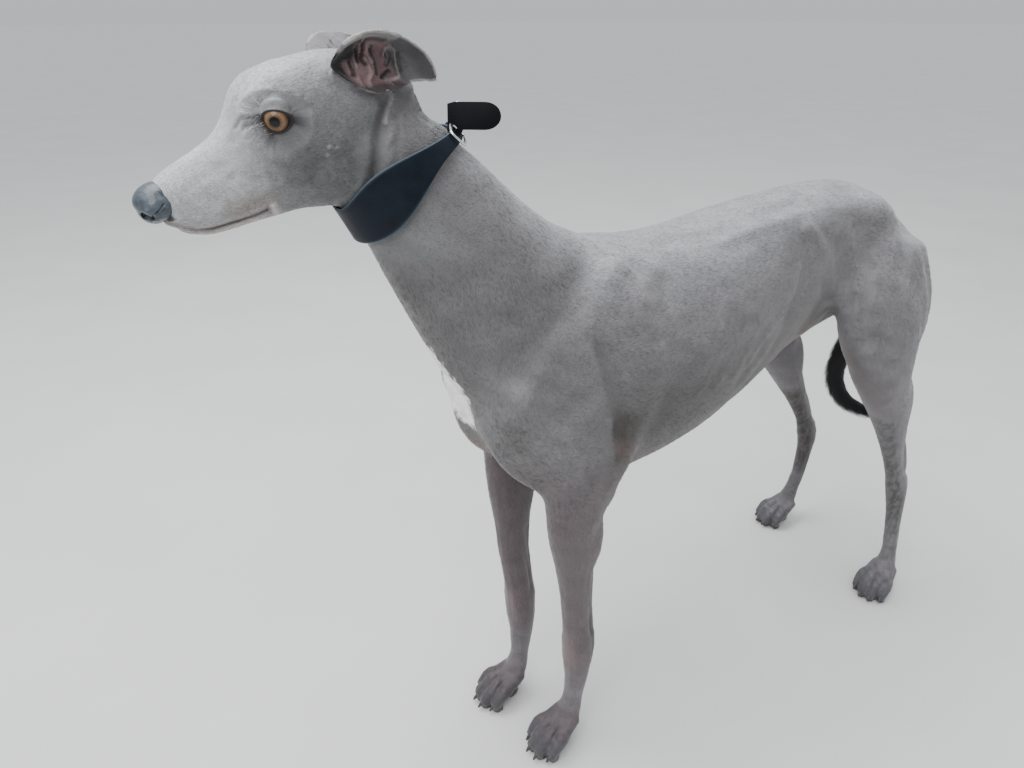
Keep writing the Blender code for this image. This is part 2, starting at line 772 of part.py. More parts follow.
def head_strokes():
    """Grooves and ridges of the face in head axes, drawn for the left side and mirrored."""
    mouth = [(0.226, 0.007, -0.0205), (0.219, 0.0135, -0.0270), (0.206, 0.0175, -0.0365),
             (0.190, 0.0205, -0.0415), (0.175, 0.0235, -0.0450), (0.158, 0.0260, -0.0490)]
    under_eye = [(0.135, 0.030, 0.002), (0.122, 0.037, -0.003), (0.108, 0.041, -0.002)]
    over_eye = [(0.131, 0.026, 0.022), (0.117, 0.035, 0.0225), (0.104, 0.039, 0.018)]
    return mirrored([
        (mouth, 0.0038, -0.0027),
        ([(0.212, 0.012, -0.046), (0.190, 0.0165, -0.050), (0.168, 0.020, -0.054)], 0.0090, 0.0010),
        (under_eye, 0.0060, -0.0012),
        (over_eye, 0.0050, -0.0006),
        ([(0.140, 0.010, 0.034), (0.100, 0.006, 0.044)], 0.0100, 0.0007),
        ([(0.196, 0.014, 0.004), (0.165, 0.018, 0.004), (0.142, 0.024, 0.012)], 0.0120, -0.0010),
        ([(0.150, 0.030, -0.022), (0.130, 0.036, -0.028)], 0.0120, -0.0012),
        ([(0.050, 0.045, -0.028), (0.066, 0.044, -0.052), (0.080, 0.038, -0.070)], 0.0110, -0.0022),
    ]) + [
        ([(0.140, 0.0, 0.030), (0.090, 0.0, 0.044), (0.050, 0.0, 0.034)], 0.0060, -0.0009),
        ([(0.225, 0.0, -0.030), (0.232, 0.0, -0.014)], 0.0026, -0.0012),
    ]


def eye_frame(side):
    """Axes of an eye: its first axis looks out, its second runs along the lids, inner end first."""
    head = head_frame()
    mirror = -side
    look = Vector((math.cos(EYE_OUTWARD), math.sin(EYE_OUTWARD) * mirror, 0.05)).normalized()
    along = Vector((math.sin(EYE_OUTWARD), -math.cos(EYE_OUTWARD) * mirror, 0.36))
    along = (along - look * along.dot(look)).normalized()
    frame = Matrix((look, along, look.cross(along))).transposed().to_4x4()
    frame.translation = Vector((EYE_SEAT[0], EYE_SEAT[1] * mirror, EYE_SEAT[2]))
    return head @ frame


def eyeball(side):
    made = ball("eye_" + SIDE_NAMES[side], eye_frame(side), (EYE_RADIUS,) * 3, 10, 16)
    return made


def lid_cutter(side):
    """An almond prism that opens the lids."""
    frame = eye_frame(side)
    flip = 1 if frame.to_3x3() @ Vector((0, 0, 1)) @ Vector((0, 0, 1)) > 0 else -1
    outline = []
    count = 20
    for k in range(count):
        a = 2 * math.pi * k / count
        across = LID_HALF_WIDTH * math.cos(a)
        arch = math.sin(a) * (LID_HALF_HEIGHT if math.sin(a) > 0 else LID_HALF_HEIGHT * 0.86)
        pinch = 1 - 0.30 * abs(math.cos(a)) ** 3
        outline.append((across, arch * pinch * flip))
    rings = [[frame @ Vector((depth, across, height)) for across, height in outline]
             for depth in (EYE_RADIUS * 0.35, EYE_RADIUS * 2.2)]
    return loft("lid_cutter", rings)


def open_eyes(head):
    for side in (LEFT, RIGHT):
        socket = ball("socket", eye_frame(side), (EYE_RADIUS + GAP,) * 3, 10, 16)
        almond = lid_cutter(side)
        boolean(socket, almond, "UNION")
        boolean(head, socket, "DIFFERENCE")
        remove([socket, almond])
    return largest_piece(head)


def nose_pad():
    frame = head_frame()
    pieces = [
        ball("pad_top", frame @ Matrix.Translation((0.2225, 0.0, -0.0020)), (0.0160, 0.0150, 0.0110)),
        ball("pad_front", frame @ Matrix.Translation((0.2265, 0.0, -0.0085)), (0.0125, 0.0110, 0.0125)),
    ]
    for side in (LEFT, RIGHT):
        pieces.append(ball("wing", frame @ Matrix.Translation((0.2235, side * 0.0095, -0.0075)),
                           (0.0125, 0.0085, 0.0105)))
    pad = fuse("nose", pieces, 0.0009, 5)
    remove(pieces)
    carve(pad, mirrored([
        ([(0.2375, 0.0070, -0.0085), (0.2350, 0.0098, -0.0098)], 0.0040, -0.0052),
        ([(0.2350, 0.0105, -0.0105), (0.2290, 0.0165, -0.0115), (0.2200, 0.0185, -0.0090)], 0.0022, -0.0022),
    ]) + [([(0.2400, 0.0, 0.0000), (0.2400, 0.0, -0.0200)], 0.0016, -0.0010)], frame)
    simplify(pad, NOSE_TRIANGLES)
    return pad


def ear_rows():
    """Upper rim, inner wall and lower rim of the folded ear, front to tip, in head axes."""
    return [
        (0.066, 0.043, 0.026, 0.066, 0.040, 0.024, 0.065, 0.043, 0.021),
        (0.052, 0.054, 0.037, 0.054, 0.037, 0.020, 0.056, 0.050, 0.004),
        (0.036, 0.062, 0.038, 0.038, 0.034, 0.014, 0.044, 0.056, -0.007),
        (0.018, 0.062, 0.030, 0.020, 0.036, 0.006, 0.026, 0.054, -0.012),
        (0.003, 0.058, 0.016, 0.005, 0.042, 0.000, 0.012, 0.051, -0.014),
        (-0.009, 0.053, 0.001, -0.005, 0.046, -0.009, 0.002, 0.050, -0.018),
        (-0.014, 0.049, -0.012, -0.011, 0.046, -0.016, -0.006, 0.048, -0.023),
        (-0.014, 0.047, -0.022, -0.013, 0.046, -0.0225, -0.012, 0.047, -0.024),
    ]


def ear_sheet(side, inset):
    """Points of one face of the ear's sheet, row by row, moved in or out by the inset."""
    frame = head_frame()
    grid = []
    across = 12
    for row in smooth_rows(ear_rows(), 3):
        upper = Vector(row[0:3])
        wall = Vector(row[3:6])
        lower = Vector(row[6:9])
        bend = wall * 2 - (upper + lower) * 0.5
        line = []
        for k in range(across + 1):
            t = k / across
            line.append(upper * (1 - t) ** 2 + bend * (2 * t * (1 - t)) + lower * t ** 2)
        grid.append(line)
    result = []
    for i, line in enumerate(grid):
        moved = []
        for k, point in enumerate(line):
            before = grid[max(i - 1, 0)][k]
            after = grid[min(i + 1, len(grid) - 1)][k]
            side_step = line[min(k + 1, across)] - line[max(k - 1, 0)]
            facing = (after - before).cross(side_step)
            facing = facing.normalized() if facing.length > 1e-9 else Vector((0, 1, 0))
            place = point + facing * inset
            if side == RIGHT:
                place -= Vector((RIGHT_EAR_BACK, 0.0, RIGHT_EAR_DROP))
            moved.append(frame @ Vector((place.x, place.y * -side, place.z)))
        result.append(moved)
    return result


def ear(side, head):
    """A cupped sheet folded back beside the skull, with its root cut to the skull's face."""
    name = "ear_" + SIDE_NAMES[side]
    inner = ear_sheet(side, EAR_THICKNESS / 2)
    outer = ear_sheet(side, -EAR_THICKNESS / 2)
    rings = [a + b[::-1] for a, b in zip(inner, outer)]
    shell = loft(name + "_sheet", rings)
    root = belly("root", head_frame() @ Vector((0.056, 0.036 * -side, 0.016)),
                 head_frame() @ Vector((0.028, 0.034 * -side, 0.000)), 0.017, 0.010,
                 head_frame().to_3x3() @ Vector((0, -side, 0)))
    made = fuse(name, [shell, root], 0.0011, 4)
    remove([shell, root])
    simplify(made, EAR_TRIANGLES)
    return clear_of(made, [head])


# Body carving

def body_strokes():
    strokes = mirrored([
        ([(0.060, 0.044, 0.680), (-0.020, 0.066, 0.620), (-0.088, 0.082, 0.560)], 0.020, 0.0035),
        ([(0.020, 0.050, 0.690), (-0.060, 0.066, 0.625), (-0.115, 0.064, 0.560)], 0.022, -0.0035),
        ([(0.100, 0.070, 0.650), (0.098, 0.090, 0.560), (0.076, 0.096, 0.460)], 0.022, -0.0050),
        ([(0.010, 0.088, 0.590), (-0.030, 0.096, 0.520), (0.004, 0.098, 0.450)], 0.016, -0.0028),
        ([(-0.130, 0.016, 0.560), (-0.110, 0.020, 0.500), (-0.060, 0.022, 0.440)], 0.016, -0.0030),
        ([(0.200, 0.060, 0.670), (0.300, 0.058, 0.678), (0.400, 0.058, 0.680)], 0.014, -0.0030),
        ([(0.330, 0.070, 0.625), (0.300, 0.078, 0.540), (0.240, 0.066, 0.450)], 0.022, -0.0035),
        ([(0.400, 0.072, 0.620), (0.400, 0.066, 0.560), (0.380, 0.050, 0.500)], 0.034, -0.0050),
        ([(0.438, 0.056, 0.690)], 0.022, 0.0050),
        ([(0.545, 0.092, 0.612)], 0.026, 0.0030),
        ([(0.648, 0.040, 0.566)], 0.020, 0.0040),
        ([(0.470, 0.092, 0.640), (0.540, 0.118, 0.560), (0.552, 0.134, 0.480)], 0.018, -0.0030),
        ([(0.592, 0.084, 0.606), (0.610, 0.104, 0.540), (0.586, 0.124, 0.450)], 0.016, -0.0030),
        ([(0.500, 0.128, 0.440), (0.508, 0.124, 0.410)], 0.018, 0.0030),
    ])
    for rib in range(6):
        x = 0.150 + 0.030 * rib
        drop = 0.012 * rib
        strokes += mirrored([
            ([(x + 0.040, 0.086, 0.640), (x + 0.026, 0.100, 0.560), (x - 0.020, 0.080, 0.450 + drop)],
             0.010, 0.0010),
        ])
    return strokes


def leg_strokes(side):
    back = RIGHT_HOCK_BACK if side == RIGHT else 0.0
    ahead = RIGHT_FORE_AHEAD if side == RIGHT else 0.0
    strokes = []
    for face in (-1, 1):
        hock = side * 0.101 + face * 0.012
        shin = side * 0.104 + face * 0.014
        ankle = side * 0.110 + face * 0.012
        arm = side * 0.058 + face * 0.018
        wrist = side * 0.055 + face * 0.016
        pastern = side * 0.053 + face * 0.015
        foot = side * 0.052 + face * 0.013
        strokes += [
            ([(0.628 + back * 0.6, hock, 0.300), (0.652 + back, hock, 0.232)], 0.0110, -0.0035),
            ([(0.667 + back, shin, 0.180), (0.667 + back * 0.75, ankle, 0.110)], 0.0060, -0.0016),
            ([(0.020 - ahead, arm, 0.300), (0.028 - ahead, wrist, 0.200)], 0.0090, -0.0022),
            ([(0.030 - ahead, pastern, 0.135), (0.024 - ahead, foot, 0.080)], 0.0060, -0.0015),
        ]
    return strokes


# Collar

def collar_edges(angle):
    """Upper and lower edge of the band, in neck rows, at an angle from the nape."""
    toward_throat = 0.5 - 0.5 * math.cos(angle)
    middle = BAND_LEVEL + BAND_TILT * math.cos(angle) + BAND_ARCH * math.cos(2 * angle)
    wide = NAPE_BAND + (THROAT_BAND - NAPE_BAND) * toward_throat ** 2
    wide += SIDE_BAND * math.sin(math.pi * toward_throat ** 2.4)
    half = wide / 2 / ROW_STEP
    return middle + half, middle - half


def collar():
    clear = BAND_CLEAR
    thick = BAND_THICKNESS
    around = 40
    rings = []
    for k in range(around):
        angle = 2 * math.pi * k / around
        upper, lower = collar_edges(angle)
        level = (upper + lower) / 2
        side = angle + math.pi / 2
        corners = [(upper, clear), (level, clear), (lower, clear),
                   (lower, clear + thick), (level, clear + thick), (upper, clear + thick)]
        rings.append([neck_point(place, side, away) for place, away in corners])
    points = [p for ring in rings for p in ring]
    count = len(rings[0])
    faces = []
    for k in range(around):
        m = (k + 1) % around
        for c in range(count):
            d = (c + 1) % count
            faces.append((k * count + c, k * count + d, m * count + d, m * count + c))
    made = mesh_object("collar", points, faces, collar_leather())
    work = bmesh.new()
    work.from_mesh(made.data)
    bmesh.ops.recalc_face_normals(work, faces=work.faces)
    bmesh.ops.triangulate(work, faces=work.faces)
    work.to_mesh(made.data)
    work.free()
    return made


def band_frame(angle):
    """Axes on the outer face of the band, at an angle from the nape toward the left side.

    They run back along the neck, round toward the left, and away from the neck.
    """
    upper, lower = collar_edges(angle)
    level = (upper + lower) / 2
    outside = BAND_CLEAR + BAND_THICKNESS
    turn = math.pi / 2 + angle
    place = neck_point(level, turn, outside)
    back = neck_point(lower, turn, outside) - neck_point(upper, turn, outside)
    back.normalize()
    left = place - neck_point(level, turn - math.radians(6), outside)
    left = (left - back * left.dot(back)).normalized()
    if left.y > 0:
        left = -left
    frame = Matrix((back, left, back.cross(left) * -1)).transposed().to_4x4()
    if frame.col[2].z < 0:
        frame.col[2] = -frame.col[2]
    frame.translation = place
    return frame


def hoop(name, frame, reach, wire, roundness, finish, sides=24, round_sides=8):
    """A closed ring of round wire, from a true circle to a rounded rectangle."""
    points = []
    for i in range(sides):
        a = 2 * math.pi * i / sides
        centre = Vector((reach[0] * bent_power(math.cos(a), roundness),
                         reach[1] * bent_power(math.sin(a), roundness), 0.0))
        outward = Vector((centre.x / reach[0] ** 2, centre.y / reach[1] ** 2, 0.0)).normalized()
        for k in range(round_sides):
            b = 2 * math.pi * k / round_sides
            around = outward * (wire * math.cos(b)) + Vector((0, 0, wire * math.sin(b)))
            points.append(frame @ (centre + around))
    faces = []
    for i in range(sides):
        j = (i + 1) % sides
        for k in range(round_sides):
            m = (k + 1) % round_sides
            faces.append((i * round_sides + k, j * round_sides + k, j * round_sides + m, i * round_sides + m))
    made = mesh_object(name, points, faces, finish)
    outward_faces(made)
    return made


def outward_faces(item):
    work = bmesh.new()
    work.from_mesh(item.data)
    bmesh.ops.recalc_face_normals(work, faces=work.faces)
    work.to_mesh(item.data)
    work.free()
    return item


def strap_end(held_by):
    """The rounded free end of the collar's strap, rising from the band to the left of the nape."""
    half = STRAP_WIDTH / 2
    outline = [(0.001, -half * 1.6), (0.0, half * 0.85), (0.006, half)]
    count = 12
    for k in range(count + 1):
        a = math.pi / 2 - math.pi * k / count
        outline.append((STRAP_LENGTH - half * 1.2 + half * 1.2 * math.cos(a), half * math.sin(a)))
    outline += [(0.014, -half), (0.011, -half * 1.6)]
    along = Vector((math.cos(STRAP_TURN), -math.sin(STRAP_TURN), 0.0))
    rise = Vector((math.sin(STRAP_LEAN) * math.sin(STRAP_TURN), math.sin(STRAP_LEAN) * math.cos(STRAP_TURN),
                   math.cos(STRAP_LEAN)))
    points = []
    for side in (-0.5, 0.5):
        for reach, up in outline:
            across = along.cross(rise) * (STRAP_THICKNESS * side)
            points.append(STRAP_ROOT + along * reach + rise * up + across)
    count = len(outline)
    faces = [tuple(range(count)), tuple(range(2 * count - 1, count - 1, -1))]
    for k in range(count):
        m = (k + 1) % count
        faces.append((k, k + count, m + count, m))
    made = outward_faces(mesh_object("collar_strap_end", points, faces, collar_leather()))
    return clear_of(made, held_by)


def collar_ring():
    base = band_frame(0.0) @ Vector((-0.001, 0.0, KEEPER_RISE + RING_REACH + RING_WIRE + GAP))
    turn = Matrix.Rotation(math.radians(90), 4, "X")
    reach = (RING_REACH, RING_REACH)
    return hoop("collar_ring", Matrix.Translation(base) @ turn, reach, RING_WIRE, 2.0, chrome())


def collar_buckle():
    """A flat wire buckle lying on the band beside the nape."""
    frame = band_frame(BUCKLE_ANGLE) @ Matrix.Translation((0.0, 0.0, BUCKLE_WIRE + GAP))
    return hoop("collar_buckle", frame, BUCKLE_REACH, BUCKLE_WIRE, 4.5, chrome())


def collar_keeper():
    """The sewn leather loop that holds the ring to the band."""
    made = block("collar_keeper", band_frame(0.0), (-0.0058, -0.0070, GAP), (0.0058, 0.0070, KEEPER_RISE))
    made.data.materials.append(collar_leather())
    return outward_faces(made)


# Putting the dog together

def body_weights(points):
    """Softening shares: full on the trunk, little on the lower legs."""
    height = points[:, 2]
    return np.clip((height - 0.20) / 0.22, 0.12, 1.0)


def make_body():
    pieces = trunk_pieces() + head_pieces()
    for side in (LEFT, RIGHT):
        pieces += leg_pieces(side) + paw_pieces(side, "fore") + paw_pieces(side, "hind")
    body = fuse("torso", pieces, BODY_VOXEL, 60, body_weights)
    remove(pieces)
    carve(body, body_strokes() + leg_strokes(LEFT) + leg_strokes(RIGHT))
    return simplify(body, BODY_TRIANGLES)


def head_cut():
    """A point and a forward normal of the plane between neck and head, behind the jaw."""
    nape = Vector((-0.150, 0.0, 0.850))
    throat = Vector((-0.224, 0.0, 0.764))
    along = throat - nape
    return (nape + throat) / 2, Vector((along.z, 0.0, -along.x)).normalized()


def neck_cut():
    row = neck_rows()[2]
    nape = Vector((row[0], 0.0, row[1]))
    throat = Vector((row[2], 0.0, row[3]))
    along = throat - nape
    return (nape + throat) / 2, Vector((along.z, 0.0, -along.x)).normalized()


def make_head():
    pieces = head_pieces() + [egg_loft("neck", neck_rows(), round_top=1.9, round_bottom=2.0)]
    head = fuse("head", pieces, HEAD_VOXEL, 26)
    remove(pieces)
    carve(head, head_strokes(), head_frame())
    point, normal = head_cut()
    halve(head, point + normal * (GAP / 2), -normal)
    simplify(head, HEAD_TRIANGLES)
    open_eyes(head)
    return head


def tail_piece(body):
    """The hanging tail, with its root cut to the croup's face."""
    root = limb("root", tail_rows())
    made = fuse("tail", [root], TAIL_VOXEL, 3)
    remove([root])
    simplify(made, TAIL_TRIANGLES)
    return clear_of(made, [body])


def paw(side, pair):
    """A fine paw from the pastern down, with the pads cut flat at the floor."""
    rows = foreleg_rows(side) if pair == "fore" else hindleg_rows(side)
    pieces = paw_pieces(side, pair) + [limb("pastern", rows[-4:])]
    made = fuse(pair + "paw_" + SIDE_NAMES[side], pieces, PAW_VOXEL, 3)
    remove(pieces)
    halve(made, Vector((0, 0, SOLE)), Vector((0, 0, -1)))
    halve(made, Vector((0, 0, PAW_TOP - GAP / 2)), Vector((0, 0, 1)))
    simplify(made, PAW_TRIANGLES)
    points = coordinates(made)
    points[points[:, 2] < SOLE + FLAT_BAND, 2] = SOLE
    set_coordinates(made, points)
    return made


def cut_legs(body):
    """Part each leg from the torso under a leaning plane, and end it above the finer paw."""
    legs = []
    for side in (LEFT, RIGHT):
        for pair, where, height, slope in (("fore", FORE_CUT_SPAN, FORE_CUT_HEIGHT, FORE_CUT_SLOPE),
                                           ("hind", HIND_CUT_SPAN, HIND_CUT_HEIGHT, HIND_CUT_SLOPE)):
            legs.append(split_off(body, pair + "leg_" + SIDE_NAMES[side], side, where, height, slope))
    for leg in legs:
        halve(leg, Vector((0, 0, PAW_TOP + GAP / 2)), Vector((0, 0, -1)))
    return legs


def shift_to_middle(items):
    """Move every mesh so that the middle of the dog's box stands over the origin."""
    spans = [coordinates(item) for item in items]
    low = np.min([points.min(axis=0) for points in spans], axis=0)
    high = np.max([points.max(axis=0) for points in spans], axis=0)
    middle = Vector(((low[0] + high[0]) / 2, (low[1] + high[1]) / 2, 0.0))
    for item in items:
        item.data.transform(Matrix.Translation(-middle))
    return middle


def build():
    head = make_head()
    nose = nose_pad()
    clear_of(head, [nose])
    ears = [ear(side, head) for side in (LEFT, RIGHT)]
    eyes = [eyeball(side) for side in (LEFT, RIGHT)]
    body = make_body()
    point, normal = head_cut()
    halve(body, point - normal * (GAP / 2), normal)
    tail = tail_piece(body)
    point, normal = neck_cut()
    neck = part_at(body, "neck", point, normal)
    legs = cut_legs(body)
    largest_piece(body)
    paws = [paw(side, pair) for pair in ("fore", "hind") for side in (LEFT, RIGHT)]
    finish([head, neck, body] + legs + paws, coat())
    finish([tail], dark_coat())
    finish(ears, ear_skin())
    finish([nose], nose_leather())
    finish(eyes, eye_glass())
    worn = [collar(), collar_keeper(), collar_ring(), collar_buckle()]
    worn.append(strap_end(worn))
    clear_of(neck, worn)
    clear_of(head, worn[:1])
    body.name = "torso"
    return [head, neck, body, tail, nose] + legs + paws + ears + eyes + worn


def finish(items, paint):
    for item in items:
        item.data.materials.clear()
        item.data.materials.append(paint)
        for face in item.data.polygons:
            face.material_index = 0


def main():
    for item in list(bpy.data.objects):
        bpy.data.objects.remove(item, do_unlink=True)
    shift_to_middle(build())


if __name__ == "__main__":
    main()
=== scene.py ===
"""The visual model of a standing greyhound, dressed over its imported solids.

Metres, +Z up, the dog faces -X and its left side is -Y. Dog places have their origin between
the forefeet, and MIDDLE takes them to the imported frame. Head places run along HEAD's axes:
forward to the nose, left and up, from the poll. Paths are written in millimetres inside mm(),
and so are the radius and height of a stroke and the radius of a mark. Most are drawn on the
left and mirrored.
"""

import math

import bmesh
import bpy
import numpy as np
from mathutils import Matrix, Vector
from mathutils.kdtree import KDTree


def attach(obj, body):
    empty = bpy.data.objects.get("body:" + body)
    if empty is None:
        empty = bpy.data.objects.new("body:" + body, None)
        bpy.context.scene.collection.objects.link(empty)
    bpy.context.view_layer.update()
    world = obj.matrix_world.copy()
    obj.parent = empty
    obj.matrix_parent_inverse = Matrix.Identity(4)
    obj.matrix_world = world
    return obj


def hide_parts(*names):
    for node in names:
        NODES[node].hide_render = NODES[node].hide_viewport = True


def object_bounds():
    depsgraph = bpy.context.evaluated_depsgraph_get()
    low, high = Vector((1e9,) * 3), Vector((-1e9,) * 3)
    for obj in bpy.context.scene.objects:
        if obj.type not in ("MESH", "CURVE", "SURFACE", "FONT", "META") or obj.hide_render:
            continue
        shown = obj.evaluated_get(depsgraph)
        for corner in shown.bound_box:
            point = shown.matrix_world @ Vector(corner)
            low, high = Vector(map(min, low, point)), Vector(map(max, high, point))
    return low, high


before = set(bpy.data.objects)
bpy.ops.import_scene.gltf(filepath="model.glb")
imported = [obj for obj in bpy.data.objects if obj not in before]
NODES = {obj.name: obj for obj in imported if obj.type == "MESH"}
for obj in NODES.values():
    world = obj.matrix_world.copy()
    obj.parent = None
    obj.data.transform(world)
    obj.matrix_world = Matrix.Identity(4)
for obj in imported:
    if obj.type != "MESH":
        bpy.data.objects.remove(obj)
CAD_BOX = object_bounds()

MIDDLE = np.array([0.16501, -0.00901, 0.0])
LEFT = -1
RIGHT = 1
SIDES = {LEFT: "left", RIGHT: "right"}
BODY_NODES = ["neck", "torso", "tail", "foreleg_left", "foreleg_right", "forepaw_left", "forepaw_right",
              "hindleg_left", "hindleg_right", "hindpaw_left", "hindpaw_right"]

# The photograph's camera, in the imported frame
CAMERA_PLACE = (-0.6098, -0.5815, 0.905)
CAMERA_FORWARD = (0.4943, 0.7417, -0.4535)
CAMERA_RIGHT = (0.8321, -0.5546, 0.0)
LENS = 25.84

# Head, dog places
POLL = np.array([-0.159, 0.030, 0.871])
NOSE_TIP = np.array([-0.379, 0.0145, 0.7756])
EYE_RADIUS = 0.0115
EYE_SEAT = (0.1165, 0.0275, 0.0088)
EYE_OUTWARD = math.radians(54)
EYE_CLEAR = 0.0003
CORNEA = 0.0006
LID_HALF_WIDTH = 0.0109
LID_HALF_HEIGHT = 0.0085
LID_EDGE = 0.0009
LID_SLOPE = 0.0062
LID_REACH = 3.4

# Skin
SEAL = 0.00026
HEAD_DEPTH = 0.0006
BODY_DEPTH = 0.0009
HEAD_VOXEL = 0.00115
BODY_VOXEL = 0.0020
NOSE_VOXEL = 0.00045
HEAD_TRIANGLES = 190000
BODY_TRIANGLES = 186000

# Tufts
HEAD_TUFTS = 34000
BODY_TUFTS = 112000
TUFT_ROOT_DEPTH = 0.00035
BOX_MARGIN = 0.0006

# Feet, dog places
FOREFOOT_OUT = 0.052
HINDFOOT_OUT = 0.118
HINDFOOT_BACK = 0.644
RIGHT_FORE_AHEAD = 0.017
RIGHT_HOCK_BACK = 0.030
HINDPAW_SHARE = 2 / 3
RIGHT_HINDPAW_IN = 0.018
TOES = [(-0.0185, 0.030, -0.002), (-0.0065, 0.041, 0.001), (0.0065, 0.041, 0.001), (0.0185, 0.030, -0.002)]

# Collar
ROW_STEP = 0.038
BAND_LEVEL = 4.95
BAND_TILT = 0.26
BAND_ARCH = -0.22
NAPE_BAND = 0.0122
THROAT_BAND = 0.037
SIDE_BAND = 0.025
BAND_CLEAR = 0.0036
BAND_THICKNESS = 0.0028
LEATHER_GRAIN = 420


# Frames and measures

def head_frame():
    forward = Vector(NOSE_TIP - POLL).normalized()
    left = Vector((0, 0, 1)).cross(forward).normalized()
    axes = Matrix((forward, left, forward.cross(left))).transposed().to_4x4()
    axes.translation = Vector(POLL - MIDDLE)
    return axes


HEAD = head_frame()


def eye_frame(side):
    """Axes of an eye: the first looks out, the second runs along the lids."""
    mirror = -side
    look = Vector((math.cos(EYE_OUTWARD), math.sin(EYE_OUTWARD) * mirror, 0.05)).normalized()
    along = Vector((math.sin(EYE_OUTWARD), -math.cos(EYE_OUTWARD) * mirror, 0.36))
    along = (along - look * along.dot(look)).normalized()
    axes = Matrix((look, along, look.cross(along))).transposed().to_4x4()
    axes.translation = Vector((EYE_SEAT[0], EYE_SEAT[1] * mirror, EYE_SEAT[2]))
    return HEAD @ axes


def paw_frame(pair, side):
    """Axes of a paw, whose origin is on the floor under the ankle."""
    right = side == RIGHT
    if pair == "fore":
        place = Vector((-RIGHT_FORE_AHEAD if right else 0.0, side * FOREFOOT_OUT, 0.0))
        turn = math.radians(4) * -side
    else:
        back = RIGHT_HOCK_BACK * HINDPAW_SHARE if right else 0.0
        wide = HINDFOOT_OUT + 0.002 - (RIGHT_HINDPAW_IN if right else 0.0)
        place = Vector((HINDFOOT_BACK + back, side * wide, 0.0))
        turn = math.radians(8) * -side
    return Matrix.Translation(place - Vector(MIDDLE)) @ Matrix.Rotation(turn, 4, "Z")


PAWS = [(pair, side) for pair in ("fore", "hind") for side in SIDES]


def carried(points, axes):
    """Points given in the axes of a frame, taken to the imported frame."""
    turn = np.array(axes)
    return points @ turn[:3, :3].T + turn[:3, 3]


def local(points, axes):
    """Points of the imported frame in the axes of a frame."""
    return carried(points, axes.inverted())


def head_directions(out):
    return out @ np.array(HEAD.to_3x3())


def mm(*rows):
    """Places in metres, from rows written in millimetres."""
    return np.array(rows, dtype=float) / 1000


def lengths(rows):
    return np.linalg.norm(rows, axis=1)


def ease(value, low, high):
    t = np.clip((value - low) / (high - low), 0, 1)
    return t * t * (3 - 2 * t)


def fall(distance, radius):
    """One at a path, easing to nothing at the radius."""
    near = np.clip(1 - (distance / radius) ** 2, 0, 1)
    return near * near


def away_from(points, path):
    """Distance of each point to a path, or to a single place."""
    if len(path) == 1:
        return lengths(points - path[0])
    best = np.full(len(points), np.inf)
    for a, b in zip(path[:-1], path[1:]):
        span = b - a
        t = np.clip((points - a) @ span / max(span @ span, 1e-12), 0, 1)
        best = np.minimum(best, lengths(points - (a + t[:, None] * span)))
    return best


def near_path(points, path, radius, gain=1.0):
    return np.clip(fall(away_from(points, path), radius / 1000) * gain, 0, 1)


def mixed(first, share, second):
    return first * (1 - share[:, None]) + np.asarray(second) * share[:, None]


def mottle(points, size, seed):
    """A smooth random value from about -1 to 1, with blotches of a size."""
    draw = np.random.default_rng(seed)
    total = np.zeros(len(points))
    for _ in range(9):
        way = draw.normal(size=3)
        way *= draw.uniform(0.7, 1.5) * 2 * math.pi / size / np.linalg.norm(way)
        total += np.cos(points @ way + draw.uniform(0, 2 * math.pi))
    return total / 3.0


def smooth_rows(rows, steps):
    """Rows of numbers with Catmull-Rom steps between them."""
    rows = np.array(rows, dtype=float)
    last = len(rows) - 1
    result = []
    for i in range(last):
        a, b, c, d = (rows[min(max(i + k, 0), last)] for k in (-1, 0, 1, 2))
        for k in range(steps):
            t = k / steps
            result.append(0.5 * (2 * b + (c - a) * t + (2 * a - 5 * b + 4 * c - d) * t ** 2
                                 + (3 * b - a - 3 * c + d) * t ** 3))
    result.append(rows[last])
    return result


# Meshes

def new_object(name, mesh):
    item = bpy.data.objects.new(name, mesh)
    bpy.context.scene.collection.objects.link(item)
    return item


def mesh_object(name, points, faces, finish):
    mesh = bpy.data.meshes.new(name)
    mesh.from_pydata([tuple(p) for p in points], [], faces)
    mesh.materials.append(finish)
    mesh.update()
    return new_object(name, mesh)


def places(item):
    found = np.empty(len(item.data.vertices) * 3)
    item.data.vertices.foreach_get("co", found)
    return found.reshape(-1, 3)


def head_places(item):
    return local(places(item), HEAD)


def set_places(item, points):
    item.data.vertices.foreach_set("co", np.ascontiguousarray(points).ravel())
    item.data.update()


def normals(item):
    found = np.empty(len(item.data.vertices) * 3)
    item.data.vertex_normals.foreach_get("vector", found)
    return found.reshape(-1, 3)


def triangles(item):
    corners = np.empty(len(item.data.loops), dtype=np.int64)
    item.data.loops.foreach_get("vertex_index", corners)
    return corners.reshape(-1, 3)


def set_attribute(item, name, values):
    """A value or a colour at each vertex."""
    if values.ndim == 2:
        full = np.ones((len(values), 4), dtype=np.float32)
        full[:, :3] = values
        item.data.attributes.new(name, "FLOAT_COLOR", "POINT").data.foreach_set("color", full.ravel())
    else:
        item.data.attributes.new(name, "FLOAT", "POINT").data.foreach_set("value", values.astype(np.float32))


def only_finish(item, finish):
    item.data.materials.clear()
    item.data.materials.append(finish)


def smooth_faces(item):
    item.data.polygons.foreach_set("use_smooth", np.ones(len(item.data.polygons), dtype=bool))
    item.data.update()
    return item


def modified(item, kind, **settings):
    """Apply one modifier to the item."""
    modifier = item.modifiers.new(kind.lower(), kind)
    for name, value in settings.items():
        setattr(modifier, name, value)
    graph = bpy.context.evaluated_depsgraph_get()
    mesh = bpy.data.meshes.new_from_object(item.evaluated_get(graph), depsgraph=graph)
    item.modifiers.clear()
    old = item.data
    item.data = mesh
    bpy.data.meshes.remove(old)


